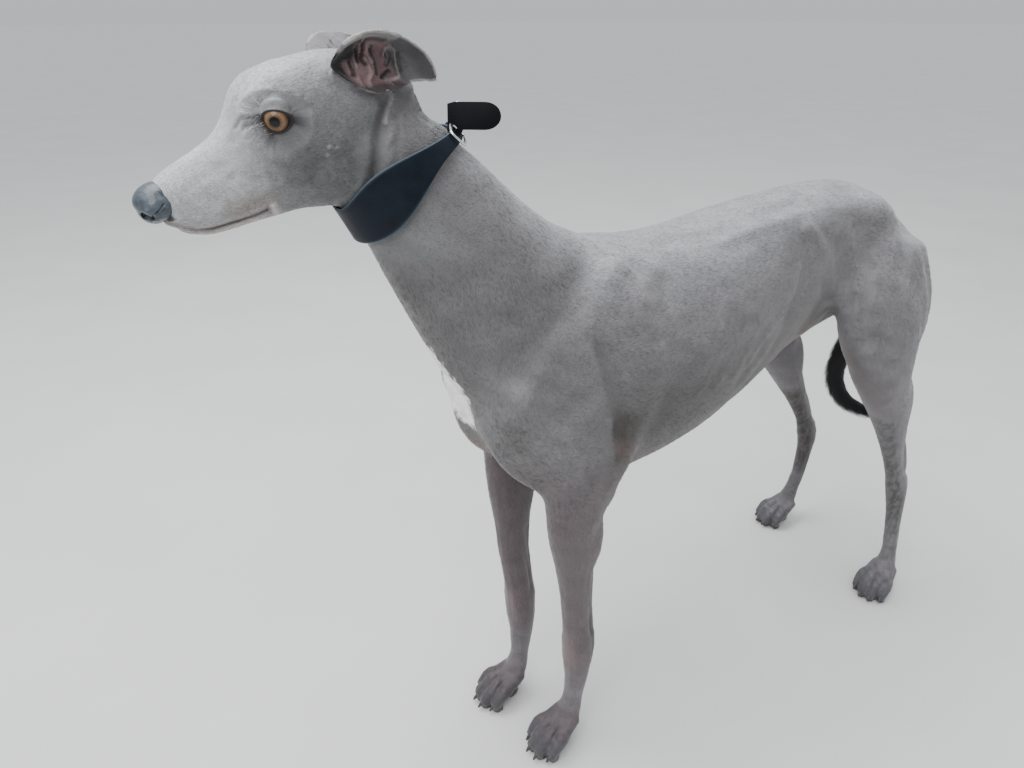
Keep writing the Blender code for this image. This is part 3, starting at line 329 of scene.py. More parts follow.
def edited(item, change):
    """Run a change on the item's mesh while it is open for editing."""
    work = bmesh.new()
    work.from_mesh(item.data)
    work.verts.ensure_lookup_table()
    change(work)
    work.to_mesh(item.data)
    work.free()
    item.data.update()


def keep_part(item, wanted):
    """Drop the faces that have a corner outside the wanted vertices."""
    def drop(work):
        faces = [f for f in work.faces if not all(wanted[v.index] for v in f.verts)]
        bmesh.ops.delete(work, geom=faces, context="FACES")
        loose = [v for v in work.verts if not v.link_faces]
        bmesh.ops.delete(work, geom=loose, context="VERTS")
    edited(item, drop)


def refine(item, chosen):
    """Split the edges between chosen vertices once."""
    def split(work):
        edges = [e for e in work.edges if chosen[e.verts[0].index] and chosen[e.verts[1].index]]
        bmesh.ops.subdivide_edges(work, edges=edges, cuts=1, use_grid_fill=True)
        bmesh.ops.triangulate(work, faces=[f for f in work.faces if len(f.verts) > 4])
    edited(item, split)


def sealed(name, nodes):
    """The named solids as one object, each grown a little so that the thin cuts close."""
    whole = bmesh.new()
    for node in nodes:
        work = bmesh.new()
        work.from_mesh(NODES[node].data)
        bmesh.ops.remove_doubles(work, verts=work.verts, dist=1e-6)
        work.normal_update()
        for v in work.verts:
            v.co += v.normal * SEAL
        grown = bpy.data.meshes.new("grown")
        work.to_mesh(grown)
        work.free()
        whole.from_mesh(grown)
        bpy.data.meshes.remove(grown)
    mesh = bpy.data.meshes.new(name)
    whole.to_mesh(mesh)
    whole.free()
    return new_object(name, mesh)


def smoothed(item, rounds, weight, pulls):
    """Move each point toward the mean of its neighbours, by its weight and by each pull in turn."""
    edges = np.empty(len(item.data.edges) * 2, dtype=np.int64)
    item.data.edges.foreach_get("vertices", edges)
    a, b = edges.reshape(-1, 2).T
    points = places(item)
    count = len(points)
    share = 1.0 / np.maximum(np.bincount(a, minlength=count) + np.bincount(b, minlength=count), 1)
    weight = np.broadcast_to(weight, (count,))
    for step in range(rounds):
        mean = np.stack([np.bincount(a, points[b, k], count) + np.bincount(b, points[a, k], count)
                         for k in range(3)], axis=1) * share[:, None]
        points = points + (mean - points) * (weight * pulls[step % len(pulls)])[:, None]
    set_places(item, points)


def relax(item, rounds, weight):
    """Even out the facets without shrinking: every second round swells back."""
    smoothed(item, rounds, weight, (0.62, -0.645))


def diffuse(item, rounds, weight):
    """Plain smoothing, for broad forms that may shrink by a fraction of a millimetre."""
    smoothed(item, rounds, weight, (0.6,))


def sculpt(item, strokes, spots, share=1.0):
    """Raise or sink the skin along paths. A stroke is its radius, its height and its path."""
    lift = np.zeros(len(spots))
    for radius, height, path in strokes:
        lift += height / 1000 * fall(away_from(spots, path), radius / 1000)
    set_places(item, places(item) + normals(item) * (lift * share)[:, None])


def both_sides(strokes):
    return [(radius, height, path * (1, side, 1)) for radius, height, path in strokes for side in SIDES]


def capped(skin, most):
    """Triangles only, up to a limit, and shaded smooth."""
    modified(skin, "TRIANGULATE")
    count = len(skin.data.polygons)
    if count > most:
        modified(skin, "DECIMATE", ratio=most / count)
    return smooth_faces(skin)


# Neck and collar forms

# Each row: nape x and z, throat x and z, half width, height of the widest place, shift sideways
NECK_ROWS = [
    (0.075, 0.640, -0.050, 0.470, 0.060, 0.50, 0.000),
    (0.034, 0.696, -0.124, 0.560, 0.067, 0.50, 0.000),
    (-0.004, 0.715, -0.158, 0.625, 0.062, 0.52, 0.000),
    (-0.045, 0.746, -0.185, 0.684, 0.054, 0.52, 0.003),
    (-0.082, 0.782, -0.203, 0.727, 0.049, 0.52, 0.008),
    (-0.113, 0.808, -0.218, 0.758, 0.046, 0.52, 0.013),
    (-0.141, 0.831, -0.230, 0.784, 0.045, 0.52, 0.019),
    (-0.167, 0.842, -0.238, 0.806, 0.040, 0.52, 0.023),
]
NECK_STEPS = 20
FINE_NECK = smooth_rows(NECK_ROWS, NECK_STEPS)


def neck_point(place, angle, clear):
    """A point round the neck, at an angle from the nape toward the left, clear of the skin."""
    at = min(max(place, 0.0), len(NECK_ROWS) - 1.001) * NECK_STEPS
    low = int(at)
    share = at - low
    row = FINE_NECK[low] * (1 - share) + FINE_NECK[low + 1] * share
    top = Vector((row[0], row[6], row[1]))
    foot = Vector((row[2], row[6], row[3]))
    spread = (top - foot).normalized() * clear
    top += spread
    foot -= spread
    waist = foot.lerp(top, row[5])
    turn = angle + math.pi / 2
    reach = (top - waist) if math.sin(turn) > 0 else (waist - foot)
    aside = Vector((0, 1, 0)) * ((row[4] + clear) * math.cos(turn))
    return waist + aside + reach * math.sin(turn) - Vector(MIDDLE)


def collar_edges(angle):
    """Upper and lower edge of the band, in neck rows, at an angle from the nape."""
    toward_throat = 0.5 - 0.5 * math.cos(angle)
    middle = BAND_LEVEL + BAND_TILT * math.cos(angle) + BAND_ARCH * math.cos(2 * angle)
    wide = NAPE_BAND + (THROAT_BAND - NAPE_BAND) * toward_throat ** 2
    wide += SIDE_BAND * math.sin(math.pi * toward_throat ** 2.4)
    half = wide / 2 / ROW_STEP
    return middle + half, middle - half


def above_collar(points):
    """How far each point lies on the head's side of the band's middle line."""
    around = 96
    tree = KDTree(around)
    starts, ways = [], []
    for k in range(around):
        angle = 2 * math.pi * k / around
        level = sum(collar_edges(angle)) / 2
        here = neck_point(level, angle, 0.0)
        tree.insert(here, k)
        starts.append(here)
        ways.append((neck_point(level + 0.4, angle, 0.0) - neck_point(level - 0.4, angle, 0.0)).normalized())
    tree.balance()
    nearest = np.array([tree.find(p)[1] for p in points])
    return np.einsum("ij,ij->i", points - np.array(starts)[nearest], np.array(ways)[nearest])


def above_nape(points):
    """Height above the band where it crosses the nape."""
    top = np.array(neck_point(BAND_LEVEL, 0.0, 0.0))
    way = np.array(neck_point(BAND_LEVEL + 0.4, 0.0, 0.0)) - top
    return (points - top) @ (way / np.linalg.norm(way))


# Materials

def rgba(tone):
    """A colour, or a grey given as one number, with full cover."""
    return (tone, tone, tone, 1) if isinstance(tone, float) else (*tone, 1)


class Tree:
    """The nodes of a material or a world. A value given to it is a socket or a constant."""

    def __init__(self, owner):
        owner.use_nodes = True
        self.made = owner
        self.nodes = owner.node_tree.nodes
        self.links = owner.node_tree.links

    def feed(self, socket, value):
        if hasattr(value, "is_output"):
            self.links.new(value, socket)
        else:
            socket.default_value = value

    def add(self, kind, values):
        node = self.nodes.new("ShaderNode" + kind)
        for name, value in values.items():
            self.feed(node.inputs[name], value)
        return node

    def surface(self, values):
        for name, value in values.items():
            self.feed(self.nodes["Principled BSDF"].inputs[name], value)

    def stretched(self, scale=(1, 1, 1), turn=(0, 0, 0)):
        """Object coordinates scaled along each axis."""
        where = self.add("TexCoord", {}).outputs["Object"]
        return self.add("Mapping", {"Vector": where, "Rotation": turn, "Scale": scale}).outputs["Vector"]

    def noise(self, scale, detail, where):
        values = {"Scale": scale, "Detail": detail, "Roughness": 0.55, "Vector": where}
        return self.add("TexNoise", values).outputs["Fac"]

    def cells(self, scale, where, feature="F1"):
        made = self.add("TexVoronoi", {"Scale": scale, "Vector": where})
        made.feature = feature
        return made.outputs["Distance"]

    def attribute(self, name, socket):
        made = self.add("Attribute", {})
        made.attribute_type = "GEOMETRY"
        made.attribute_name = name
        return made.outputs[socket]

    def maths(self, kind, *values):
        made = self.add("Math", {})
        made.operation = kind
        for socket, value in zip(made.inputs, values):
            self.feed(socket, value)
        return made.outputs[0]

    def ramp(self, value, *stops):
        """Colours by a value from 0 to 1, each stop a place and a colour or a grey."""
        made = self.add("ValToRGB", {"Fac": value})
        bar = made.color_ramp.elements
        bar.remove(bar[1])
        bar[0].position = stops[0][0]
        bar[0].color = rgba(stops[0][1])
        for place, tone in stops[1:]:
            bar.new(place).color = rgba(tone)
        return made.outputs["Color"]

    def blend(self, kind, first, second, share=1.0):
        made = self.add("Mix", {})
        made.data_type = "RGBA"
        made.blend_type = kind
        for name, sort, value in (("Factor", "VALUE", share), ("A", "RGBA", first), ("B", "RGBA", second)):
            self.feed(next(s for s in made.inputs if (s.name, s.type) == (name, sort)), value)
        return next(s for s in made.outputs if s.type == "RGBA")

    def bump(self, height, strength, distance):
        made = self.add("Bump", {"Height": height, "Strength": strength, "Distance": distance})
        self.surface({"Normal": made.outputs["Normal"]})


def finish_tree(name):
    return Tree(bpy.data.materials.new(name))


def coat_finish():
    """Short hair: the coat's own colours, streaked along the lie of the hair."""
    tree = finish_tree("coat")
    comb = tree.add("SeparateColor", {"Color": tree.attribute("Comb", "Color")})
    level = (0, 0, 0)
    hair = 0.0
    for share, scale, turn in (("Red", (160, 1500, 1100), level), ("Green", (1300, 1300, 170), level),
                               ("Blue", (520, 1900, 1900), (0, -HEAD.to_euler().y, 0))):
        strands = tree.noise(1.0, 2.0, tree.stretched(scale, turn))
        hair = tree.maths("MULTIPLY_ADD", strands, comb.outputs[share], hair)
    streak = tree.ramp(hair, (0.30, (0.74, 0.73, 0.74)), (0.50, 0.99), (0.70, (1.24, 1.24, 1.25)))
    toned = tree.blend("MULTIPLY", tree.attribute("Coat", "Color"), streak)
    patchy = tree.ramp(tree.noise(26.0, 4.0, tree.stretched()), (0.30, (0.90, 0.90, 0.91)), (0.70, 1.09))
    rough = tree.add("MapRange", {"Value": hair, "To Min": 0.50, "To Max": 0.72})
    tree.surface({"Base Color": tree.blend("MULTIPLY", toned, patchy), "Roughness": rough.outputs["Result"],
                  "Specular IOR Level": 0.35, "Sheen Weight": 0.25, "Sheen Roughness": 0.45})
    tree.bump(hair, 0.38, 0.0005)
    return tree.made


def eye_finish():
    """Amber iris with radial fibres, a dark pupil and a wet surface."""
    tree = finish_tree("eye_glass")
    parts = tree.add("SeparateXYZ", {"Vector": tree.add("TexCoord", {}).outputs["Object"]})
    y, z = parts.outputs["Y"], parts.outputs["Z"]
    square = tree.maths("ADD", tree.maths("MULTIPLY", y, y), tree.maths("MULTIPLY", z, z))
    share = tree.maths("DIVIDE", tree.maths("SQRT", square), 0.0100)
    around = tree.maths("MULTIPLY", tree.maths("ARCTAN2", z, y), 7.0)
    fibre = tree.add("CombineXYZ", {"X": around, "Y": tree.maths("MULTIPLY", share, 2.0)})
    rays = tree.noise(2.6, 4.0, fibre.outputs["Vector"])
    rings = tree.ramp(
        tree.maths("ADD", share, tree.maths("MULTIPLY", rays, 0.06)),
        (0.00, (0.004, 0.004, 0.005)), (0.390, (0.003, 0.003, 0.004)), (0.425, (0.055, 0.030, 0.016)),
        (0.47, (0.100, 0.060, 0.034)), (0.68, (0.190, 0.122, 0.073)), (0.81, (0.125, 0.072, 0.040)),
        (0.88, (0.080, 0.040, 0.022)), (0.93, (0.012, 0.009, 0.008)), (1.0, (0.020, 0.016, 0.014)))
    streaks = tree.ramp(rays, (0.32, (0.62, 0.60, 0.58)), (0.68, (1.28, 1.24, 1.18)))
    tree.surface({"Base Color": tree.blend("MULTIPLY", rings, streaks), "Roughness": 0.10,
                  "Specular IOR Level": 0.05, "Coat Weight": 0.45, "Coat Roughness": 0.02})
    tree.bump(rays, 0.05, 0.0002)
    return tree.made


def nose_finish():
    """Slate leather with a fine pebble, glossier where it is worn and wet, with painted shade in the
    nostrils.
    """
    tree = finish_tree("nose_leather")
    where = tree.stretched()
    cloud = tree.noise(160, 3.0, where)
    base = tree.ramp(cloud, (0.3, (0.020, 0.029, 0.040)), (0.7, (0.054, 0.073, 0.098)))
    # painted shade in the nostrils and the slits beside them
    tinted = tree.blend("MIX", base, rgba((0.006, 0.007, 0.009)), tree.attribute("NostrilShade", "Fac"))
    tree.surface({"Base Color": tinted, "Roughness": tree.ramp(cloud, (0.3, 0.30), (0.7, 0.46)),
                  "Coat Weight": 0.35, "Coat Roughness": 0.22})
    tree.bump(tree.cells(1500, where), 0.5, 0.00035)
    return tree.made


def horn_finish():
    """Grey claw horn, grained along its length."""
    tree = finish_tree("claw_horn")
    grain = tree.noise(1.0, 3.0, tree.stretched((140, 900, 900)))
    tree.surface({"Base Color": tree.ramp(grain, (0.3, (0.018, 0.016, 0.016)), (0.7, (0.075, 0.066, 0.060))),
                  "Roughness": tree.ramp(grain, (0.3, 0.30), (0.7, 0.48))})
    tree.bump(grain, 0.3, 0.0003)
    return tree.made


def leather_finish(name, dark, light, gloss, mirror):
    """Dyed leather: a broken grain, with a painted sky-blue highlight laid on by the edge mask."""
    tree = finish_tree(name)
    where = tree.stretched()
    cloud = tree.noise(LEATHER_GRAIN * 0.16, 4.0, where)
    dyed = tree.ramp(cloud, (0.30, dark), (0.72, light))
    # painted highlight along the leather's rounded edges
    edge_lit = tree.blend("MIX", dyed, rgba((0.085, 0.120, 0.155)), tree.attribute("EdgeHighlight", "Fac"))
    tree.surface({"Base Color": edge_lit, "Roughness": tree.ramp(cloud, (0.3, gloss), (0.7, gloss + 0.16)),
                  "Specular IOR Level": mirror})
    grain = tree.cells(LEATHER_GRAIN * 2.2, where, "DISTANCE_TO_EDGE")
    tree.bump(tree.maths("MULTIPLY_ADD", cloud, 0.5, grain), 0.35, 0.0004)
    return tree.made


def chrome_finish():
    """Plated wire, scuffed all over."""
    tree = finish_tree("chrome")
    scuff = tree.noise(700, 4.0, tree.stretched())
    tree.surface({"Base Color": tree.ramp(scuff, (0.3, (0.56, 0.57, 0.58)), (0.7, 0.80)),
                  "Roughness": tree.ramp(scuff, (0.3, 0.12), (0.7, 0.30)), "Metallic": 1.0})
    tree.bump(scuff, 0.12, 0.0002)
    return tree.made


def floor_finish():
    tree = finish_tree("studio_floor")
    cloud = tree.noise(3.0, 3.0, tree.stretched())
    tree.surface({"Base Color": tree.ramp(cloud, (0.3, (0.60, 0.60, 0.595)), (0.7, (0.64, 0.64, 0.635))),
                  "Roughness": 0.85})
    return tree.made


# Skin of the head

FACE_DEPTH = 0.3
MOUTH = mm((227.0, 8.5, -19.5), (225.6, 11.9, -20.6), (218.8, 14.0, -29.2), (211.7, 15.0, -35.5),
           (201.8, 16.5, -40.0), (194.4, 18.0, -41.6), (179.3, 20.5, -45.0), (167.5, 22.5, -47.4),
           (158.5, 24.0, -48.0))
LOWER_LIP = mm((213.0, 12.0, -41.0), (202.7, 13.0, -45.0), (181.0, 16.5, -49.5), (165.0, 18.5, -53.0))
LIP_CORNER = mm((153.0, 24.5, -47.0), (152.8, 19.0, -56.0))
LIP_FLUSH = mm((181.9, 23.8, -33.0), (167.5, 24.1, -36.0), (156.0, 24.0, -41.0))
STOP_FOLDS = [mm((145.6, 17.2, 14.6), (135.2, 22.9, 21.9), (128.3, 28.3, 25.9)),
              mm((142.3, 21.4, 12.1), (134.1, 25.5, 19.1), (126.8, 30.0, 23.0))]
BROW_LINE = mm((123.5, 31.1, 26.2), (116.3, 33.8, 25.6), (109.4, 37.5, 22.6))
FOREHEAD_LINE = mm((136.5, 20.0, 22.2), (122.8, 23.3, 31.0), (102.7, 17.2, 37.0), (86.8, 10.0, 37.1))
EYE_STREAK = mm((126.6, 37.0, -2.4), (120.6, 39.9, -4.0), (115.0, 42.3, -0.8), (108.1, 44.1, -2.8))
EYE_CORNER = mm((6.5, 10.4, -0.5), (8.0, 9.0, -0.5))
CHEEK_SHADE = mm((113, 38, -32), (106, 40, -50), (85, 42, -45))
CHEEK_FLECKS = [mm((100.3, 42.3, -29.7)), mm((91.4, 44.3, -27.8)), mm((96.5, 43.0, -24.0))]
JAW_CREASE = mm((36.9, 44.0, -12.9), (39.4, 44.5, -21.4), (48.2, 44.7, -30.8), (59.4, 47.0, -40.0),
                (69.0, 44.0, -54.0), (80.0, 37.0, -68.0))
JAW_RIDGE = mm((29.3, 47.4, -5.8), (30.0, 43.1, -16.5), (37.3, 44.1, -24.5), (44.8, 45.4, -31.5))


def lid_share(spots, side):
    """Place of each point against the almond opening: one on the lid's edge, less inside."""
    scale = EYE_RADIUS / np.maximum(lengths(spots), 1e-6)
    across = spots[:, 1] * scale
    up = spots[:, 2] * -side * scale
    pinch = 1 - 0.20 * np.clip(np.abs(across) / LID_HALF_WIDTH, 0, 1) ** 3
    half = np.where(up > 0, LID_HALF_HEIGHT, LID_HALF_HEIGHT * 0.86) * pinch
    return np.sqrt((across / LID_HALF_WIDTH) ** 2 + (up / half) ** 2)


def set_lids(item, fade_start, fade_end):
    """Lids that hug each eyeball, with a narrow flat edge round the opening."""
    points = places(item)
    under = EYE_RADIUS - LID_EDGE
    edge = EYE_RADIUS + LID_EDGE
    for side in SIDES:
        axes = eye_frame(side)
        spots = local(points, axes)
        reach = lengths(spots)
        share = lid_share(spots, side)
        front = (spots[:, 0] > 0.001) & (reach < EYE_RADIUS + 0.014) & (share < LID_REACH)
        rise = ease(share, 0.96, 1.03)
        near = under * (1 - rise) + edge * rise
        slope = edge + LID_SLOPE * np.maximum(share - 1.05, 0.0) + 0.030 * ease(share, 1.6, 3.4)
        fade = ease(share, fade_start, fade_end)
        wanted = near * (1 - fade) + np.minimum(reach, slope) * fade
        scale = np.where(front, wanted / np.maximum(reach, 1e-6), 1.0)
        points = carried(spots * scale[:, None], axes)
    set_places(item, points)


def near_eyes(points):
    """One in a ring outside each lid, where its fold eases into the face."""
    ring = np.zeros(len(points))
    for side in SIDES:
        spots = local(points, eye_frame(side))
        share = lid_share(spots, side)
        front = ease(spots[:, 0], 0.0, 0.003) * ease(-lengths(spots), -0.030, -0.024)
        ring = np.maximum(ring, front * ease(share, 1.06, 1.16) * (1 - ease(share, 3.0, 3.6)))
    return ring


def folded(spots):
    """Head places with the right side folded onto the left, and depth counting for little."""
    return np.abs(spots) * (0, FACE_DEPTH, 0) + spots * (1, 0, 1)


def flat_path(path):
    return path * (1, FACE_DEPTH, 1)


def face_strokes():
    """Folds of the left side of the face, for folded places."""
    lips = MOUTH[2:]
    strokes = [
        (1.9, -2.1, MOUTH),
        (2.8, 0.8, lips + (0, 0.001, 0.0032)),
        (2.8, 0.7, lips - (0, 0.001, 0.0034)),
        (2.6, 0.6, LIP_CORNER),
        (2.2, -0.7, STOP_FOLDS[0]),
        (1.9, -0.7, STOP_FOLDS[1]),
        (2.4, 0.5, STOP_FOLDS[1] + (0.002, 0, -0.0045)),
        (3.6, 0.4, BROW_LINE),
        (4.0, 0.7, FOREHEAD_LINE),
        (2.2, -0.6, EYE_STREAK),
        (7.0, -0.8, mm((150, 30, -22), (128, 38, -30), (104, 43, -34))),
        (5.0, 0.6, mm((166, 26, -18), (140, 34, -22))),
        (6.0, -0.6, mm((198, 15, -4), (170, 20, -4), (150, 26, 0))),
        (8.0, -3.0, JAW_CREASE),
        (3.0, 2.2, JAW_RIDGE),
        (7.0, 1.0, JAW_CREASE[2:] - (0.007, 0, 0.006)),
    ]
    return [(radius, height, flat_path(path)) for radius, height, path in strokes]


# Ears, drawn on the left one

EAR_FLAT = np.array([1.0, 0.25, 1.0])
RIGHT_EAR_BACK = 0.015
RIGHT_EAR_DROP = 0.010
EAR_MIDDLE = mm((45, 52, 20), (15, 52, 10), (-10, 50, -12))
EAR_FRONT_DARK = mm((62.5, 45.7, 14.0), (61.0, 45.0, 25.0), (54.5, 44.0, 29.0), (49.0, 42.0, 27.5))
EAR_BASE_DARK = mm((61.3, 45.7, 10.0), (59.0, 44.0, 4.0), (53.9, 44.7, -1.3), (47.0, 53.1, -4.5),
                   (40.0, 53.8, -6.0), (32.0, 52.0, -9.5), (23.0, 50.0, -12.5))
EAR_DARK_FOLDS = [mm((35.5, 46.0, 28.4), (37.2, 41.4, 22.7), (41.1, 42.9, 18.3), (39.7, 44.1, 14.0)),
                  mm((40.9, 45.0, 28.1), (42.3, 41.1, 22.4), (44.8, 43.2, 18.1)),
                  mm((49.5, 42.5, 20.0), (52.0, 43.2, 11.0)),
                  mm((30.0, 43.0, 23.0), (30.0, 42.0, 12.0), (33.0, 43.0, 3.0))]
EAR_RIDGES = [mm((38.3, 44.2, 24.0), (38.8, 43.0, 16.0)),
              mm((38.3, 44.2, 12.4), (38.5, 44.3, 6.0), (46.1, 49.2, -0.2)),
              mm((50.7, 43.3, 13.7), (50.4, 44.2, 7.1), (53.6, 48.0, 2.7)),
              mm((45.5, 42.5, 24.0), (47.5, 43.0, 16.0)),
              mm((34.0, 43.0, 25.0), (34.0, 42.5, 13.0))]
POCKET_RIM = mm((21.3, 40.0, 12.5), (20.0, 44.0, 17.0), (17.0, 45.0, 17.7), (13.4, 44.0, 12.7),
                (13.2, 41.0, 4.9), (15.3, 41.5, -2.6), (18.1, 45.0, -6.7), (28.4, 45.1, -5.0))
POCKET_DARK = [mm((18.3, 41.4, 12.0), (17.4, 39.3, 6.9), (20.1, 37.6, 4.3)),
               mm((30.0, 41.3, -1.6), (25.6, 40.0, -1.2), (21.5, 39.4, -0.7))]
FLAP_SHADOW = mm((11.0, 43.6, 8.8), (11.0, 41.0, 2.2), (13.0, 42.5, -4.3))
EAR_TOP_RIM = mm((52, 54, 37), (36, 62, 38), (18, 62, 30), (3, 58, 16), (-9, 53, 1), (-14, 49, -12),
                 (-14, 47, -22))
EAR_LOW_RIM = mm((-12, 47, -24), (-6, 48, -23), (2, 50, -18), (12, 51, -14))
EAR_BAND = mm((56, 48, 35.5), (46, 52, 38), (34, 56, 37.5), (24, 56, 33), (14, 56, 26))
BAND_SHADOW = mm((50, 48, 29.5), (40, 50, 31), (30, 52, 29.5), (21, 52, 24))
CUP_LINE = mm((50, 46, 18), (30, 46, 12), (10, 46, 2), (-6, 48, -14))
CUP_FRONT = 0.0655
CUP_FLOOR = mm((-20, -26), (-6, -23.5), (2, -18.5), (12, -15), (26, -13), (44, -7.5), (56, 3.5), (61, 12),
               (66, 20.5))


def ear_shift(side):
    """The right ear lies further back and lower."""
    return (RIGHT_EAR_BACK, RIGHT_EAR_DROP) if side == RIGHT else (0.0, 0.0)


def on_ear(path, side):
    back, drop = ear_shift(side)
    return path * (1, -side, 1) - (back, 0, drop)


def ear_strokes():
    """Folds, ridges and pocket of each ear, for places whose depth counts for little."""
    strokes = [(7.0, 1.0, EAR_BAND), (2.6, -1.6, BAND_SHADOW)]
    strokes += [(2.2, -2.2, path) for path in EAR_DARK_FOLDS]
    strokes += [(3.2, 2.4, path) for path in EAR_RIDGES]
    strokes += [(2.3, -2.4, path) for path in POCKET_DARK]
    strokes += [(2.0, 2.3, POCKET_RIM), (2.4, -1.3, FLAP_SHADOW)]
    return [(radius, height, on_ear(path, side) * EAR_FLAT)
            for side in SIDES for radius, height, path in strokes]


def in_ear(spots):
    """One on the ears, in head places."""
    near = [fall(away_from(spots, on_ear(EAR_MIDDLE, side)), 0.040) for side in SIDES]
    return np.clip(np.maximum(*near) * 2.2, 0, 1) * ease(np.abs(spots[:, 1]), 0.040, 0.047)


def in_cup(spots, side):
    """One above the cup's lower rim and behind its front, in head places."""
    back, drop = ear_shift(side)
    floor = np.interp(spots[:, 0] + back, CUP_FLOOR[:, 0], CUP_FLOOR[:, 1]) - drop
    return ease(spots[:, 2] - floor, 0.0, 0.0012) * ease(-spots[:, 0] - back, -CUP_FRONT, -CUP_FRONT + 0.001)


def inner_ear(spots, facing):
    """One on the cup's inner face, from head places and directions."""
    mask = np.zeros(len(spots))
    for side in SIDES:
        near = ease(-away_from(spots, on_ear(CUP_LINE, side)), -0.0260, -0.0235)
        open_side = ease(facing[:, 1] * -side, 0.02, 0.30) * ease(spots[:, 1] * -side, 0.0345, 0.0365)
        mask = np.maximum(mask, near * open_side * in_cup(spots, side))
    return mask


def make_head_skin():
    skin = sealed("skin_head", ["head", "neck", "ear_left", "ear_right", "eye_left", "eye_right", "nose"])
    modified(skin, "REMESH", mode="VOXEL", voxel_size=HEAD_VOXEL)
    keep_part(skin, above_collar(places(skin)) > 0.0)
    ears = in_ear(head_places(skin))
    diffuse(skin, 5, 1.0 - ears)
    relax(skin, 22, 1.0 - 0.45 * ears)
    spots = head_places(skin)
    nose = ease(spots[:, 0], 0.214, 0.222) * ease(spots[:, 2], -0.024, -0.019)
    set_places(skin, places(skin) - normals(skin) * (HEAD_DEPTH + SEAL + 0.0016 * nose)[:, None])
    fine = np.zeros(len(spots), dtype=bool)
    for side in SIDES:
        fine |= lengths(local(places(skin), eye_frame(side))) < 0.0195
    refine(skin, fine)
    set_lids(skin, 1.10, 1.50)
    diffuse(skin, 22, near_eyes(places(skin)))
    refine(skin, away_from(folded(head_places(skin)), flat_path(MOUTH)) < 0.0042)
    spots = head_places(skin)
    sculpt(skin, face_strokes(), folded(spots), ease(np.abs(spots[:, 1]), 0.002, 0.008))
    set_lids(skin, 1.03, 1.12)
    refine(skin, inner_ear(spots, head_directions(normals(skin))) > 0.5)
    spots = head_places(skin)
    sculpt(skin, ear_strokes(), spots * EAR_FLAT, inner_ear(spots, head_directions(normals(skin))))
    return capped(skin, HEAD_TRIANGLES)


# Skin of the body

ARM_REAR = mm((22, 91, 472), (21, 91, 489), (18, 89, 519), (7, 88, 552), (0, 86, 581), (-8, 83, 604))
TAIL_ROOT = mm((640, 4, 540), (640, 24, 440), (633, 37, 360))
PROW = mm((-105, 0, 560), (-90, 0, 500), (-60, 0, 440))
HIP = mm((500, 70, 662), (535, 94, 612))
SHOULDER_SEAM = mm((-10, 55, 660), (-50, 70, 620), (-85, 70, 560))
HOCKS = [mm((668, 92, 180), (676, 90, 120)), mm((642, -104, 180), (646, -108, 120))]
PAW_BOTTOM = 0.0010


def body_strokes():
    """Ribs, folds, muscles and tendons."""
    strokes = [
        (13, -1.1, mm((335, 66, 625), (329, 69, 603), (312, 74, 576), (262, 88, 552), (215, 88, 510))),
        (9, 1.2, mm((322, 69, 625), (314, 74, 600), (296, 79, 580), (250, 91, 558))),
        (13, 1.8, mm((345, 55, 668), (385, 62, 621), (425, 63, 561), (405, 45, 510))),
        (12, -2.4, mm((405, 58, 640), (424, 66, 600), (432, 78, 560))),
        (11, -2.2, mm((439, 64, 655), (451, 82, 603), (441, 95, 555), (447, 108, 505))),
        (14, -1.4, mm((513, 91, 622), (487, 114, 565), (481, 127, 499))),
        (12, -1.6, mm((560, 92, 610), (566, 110, 540), (560, 124, 470))),
        (11, -1.2, mm((130, 34, 684), (200, 40, 682), (270, 38, 690), (350, 34, 697))),
        (10, 1.3, mm((24, 21, 698), (41, 41, 685), (54, 59, 666), (58, 74, 641))),
        (12, -1.6, mm((44, 30, 697), (64, 50, 682), (76, 72, 655), (82, 86, 600))),
        (12, -1.0, mm((-10, 60, 640), (-50, 76, 590), (-78, 80, 545))),
        (13, -1.4, mm((-185, 26, 715), (-150, 40, 655), (-118, 52, 600))),
        (16, 1.0, mm((-170, 42, 740), (-120, 55, 680), (-60, 68, 620))),
        (10, -1.4, mm((30, 88, 520), (8, 94, 470), (12, 92, 440))),
        (8, -1.8, ARM_REAR + (0.005, 0, 0)),
        (9, 0.9, ARM_REAR - (0.007, 0, 0)),
    ]
    for rib in range(6):
        x = 148 + 31 * rib
        strokes.append((9.5, 0.9, mm((x + 30, 90, 632), (x + 20, 96, 580), (x - 12, 94, 515 + 6 * rib))))
    return both_sides([(radius * 1.35, height * 1.6, path) for radius, height, path in strokes])


def fore_line(side, *rows):
    """A path on a foreleg; the right leg stands further ahead."""
    return mm(*rows) * (1, side, 1) - (RIGHT_FORE_AHEAD if side == RIGHT else 0, 0, 0)


def hind_line(side, *rows):
    """A path on a hind leg, each place with its share of the way the right leg is set back."""
    rows = np.array(rows, dtype=float)
    path = rows[:, :3] / 1000 * (1, side, 1)
    path[:, 0] += rows[:, 3] * (RIGHT_HOCK_BACK if side == RIGHT else 0)
    return path


def leg_strokes():
    """Tendon grooves, joints and veins of each leg."""
    strokes = []
    for side in SIDES:
        for outer in (71.5, 43.0):
            near = outer * 0.97
            strokes += [
                (5.0, -1.6, fore_line(side, (4, outer, 300), (22, near, 220), (25, near, 160))),
                (10.0, 1.0, fore_line(side, (-2, near, 185), (4, outer * 0.96, 150))),
            ]
        strokes += [
            (4.0, -0.8, fore_line(side, (-12, 60, 330), (-14, 58, 250))),
            (9.0, 1.4, fore_line(side, (46, 60, 160))),
            (4.0, -0.8, fore_line(side, (-12, 57, 128), (-14, 54, 85))),
            (4.0, -1.2, hind_line(side, (560, 118, 345, 0.3), (600, 112, 285, 0.6), (628, 109, 235, 1))),
            (2.4, 0.8, hind_line(side, (545, 119, 330, 0.2), (585, 112, 270, 0.4))),
            (3.6, -1.0, hind_line(side, (648, 113, 185, 1), (646, 121, 110, 0.75))),
            (12.0, 1.2, hind_line(side, (636, 104, 200, 1))),
        ]
    return strokes


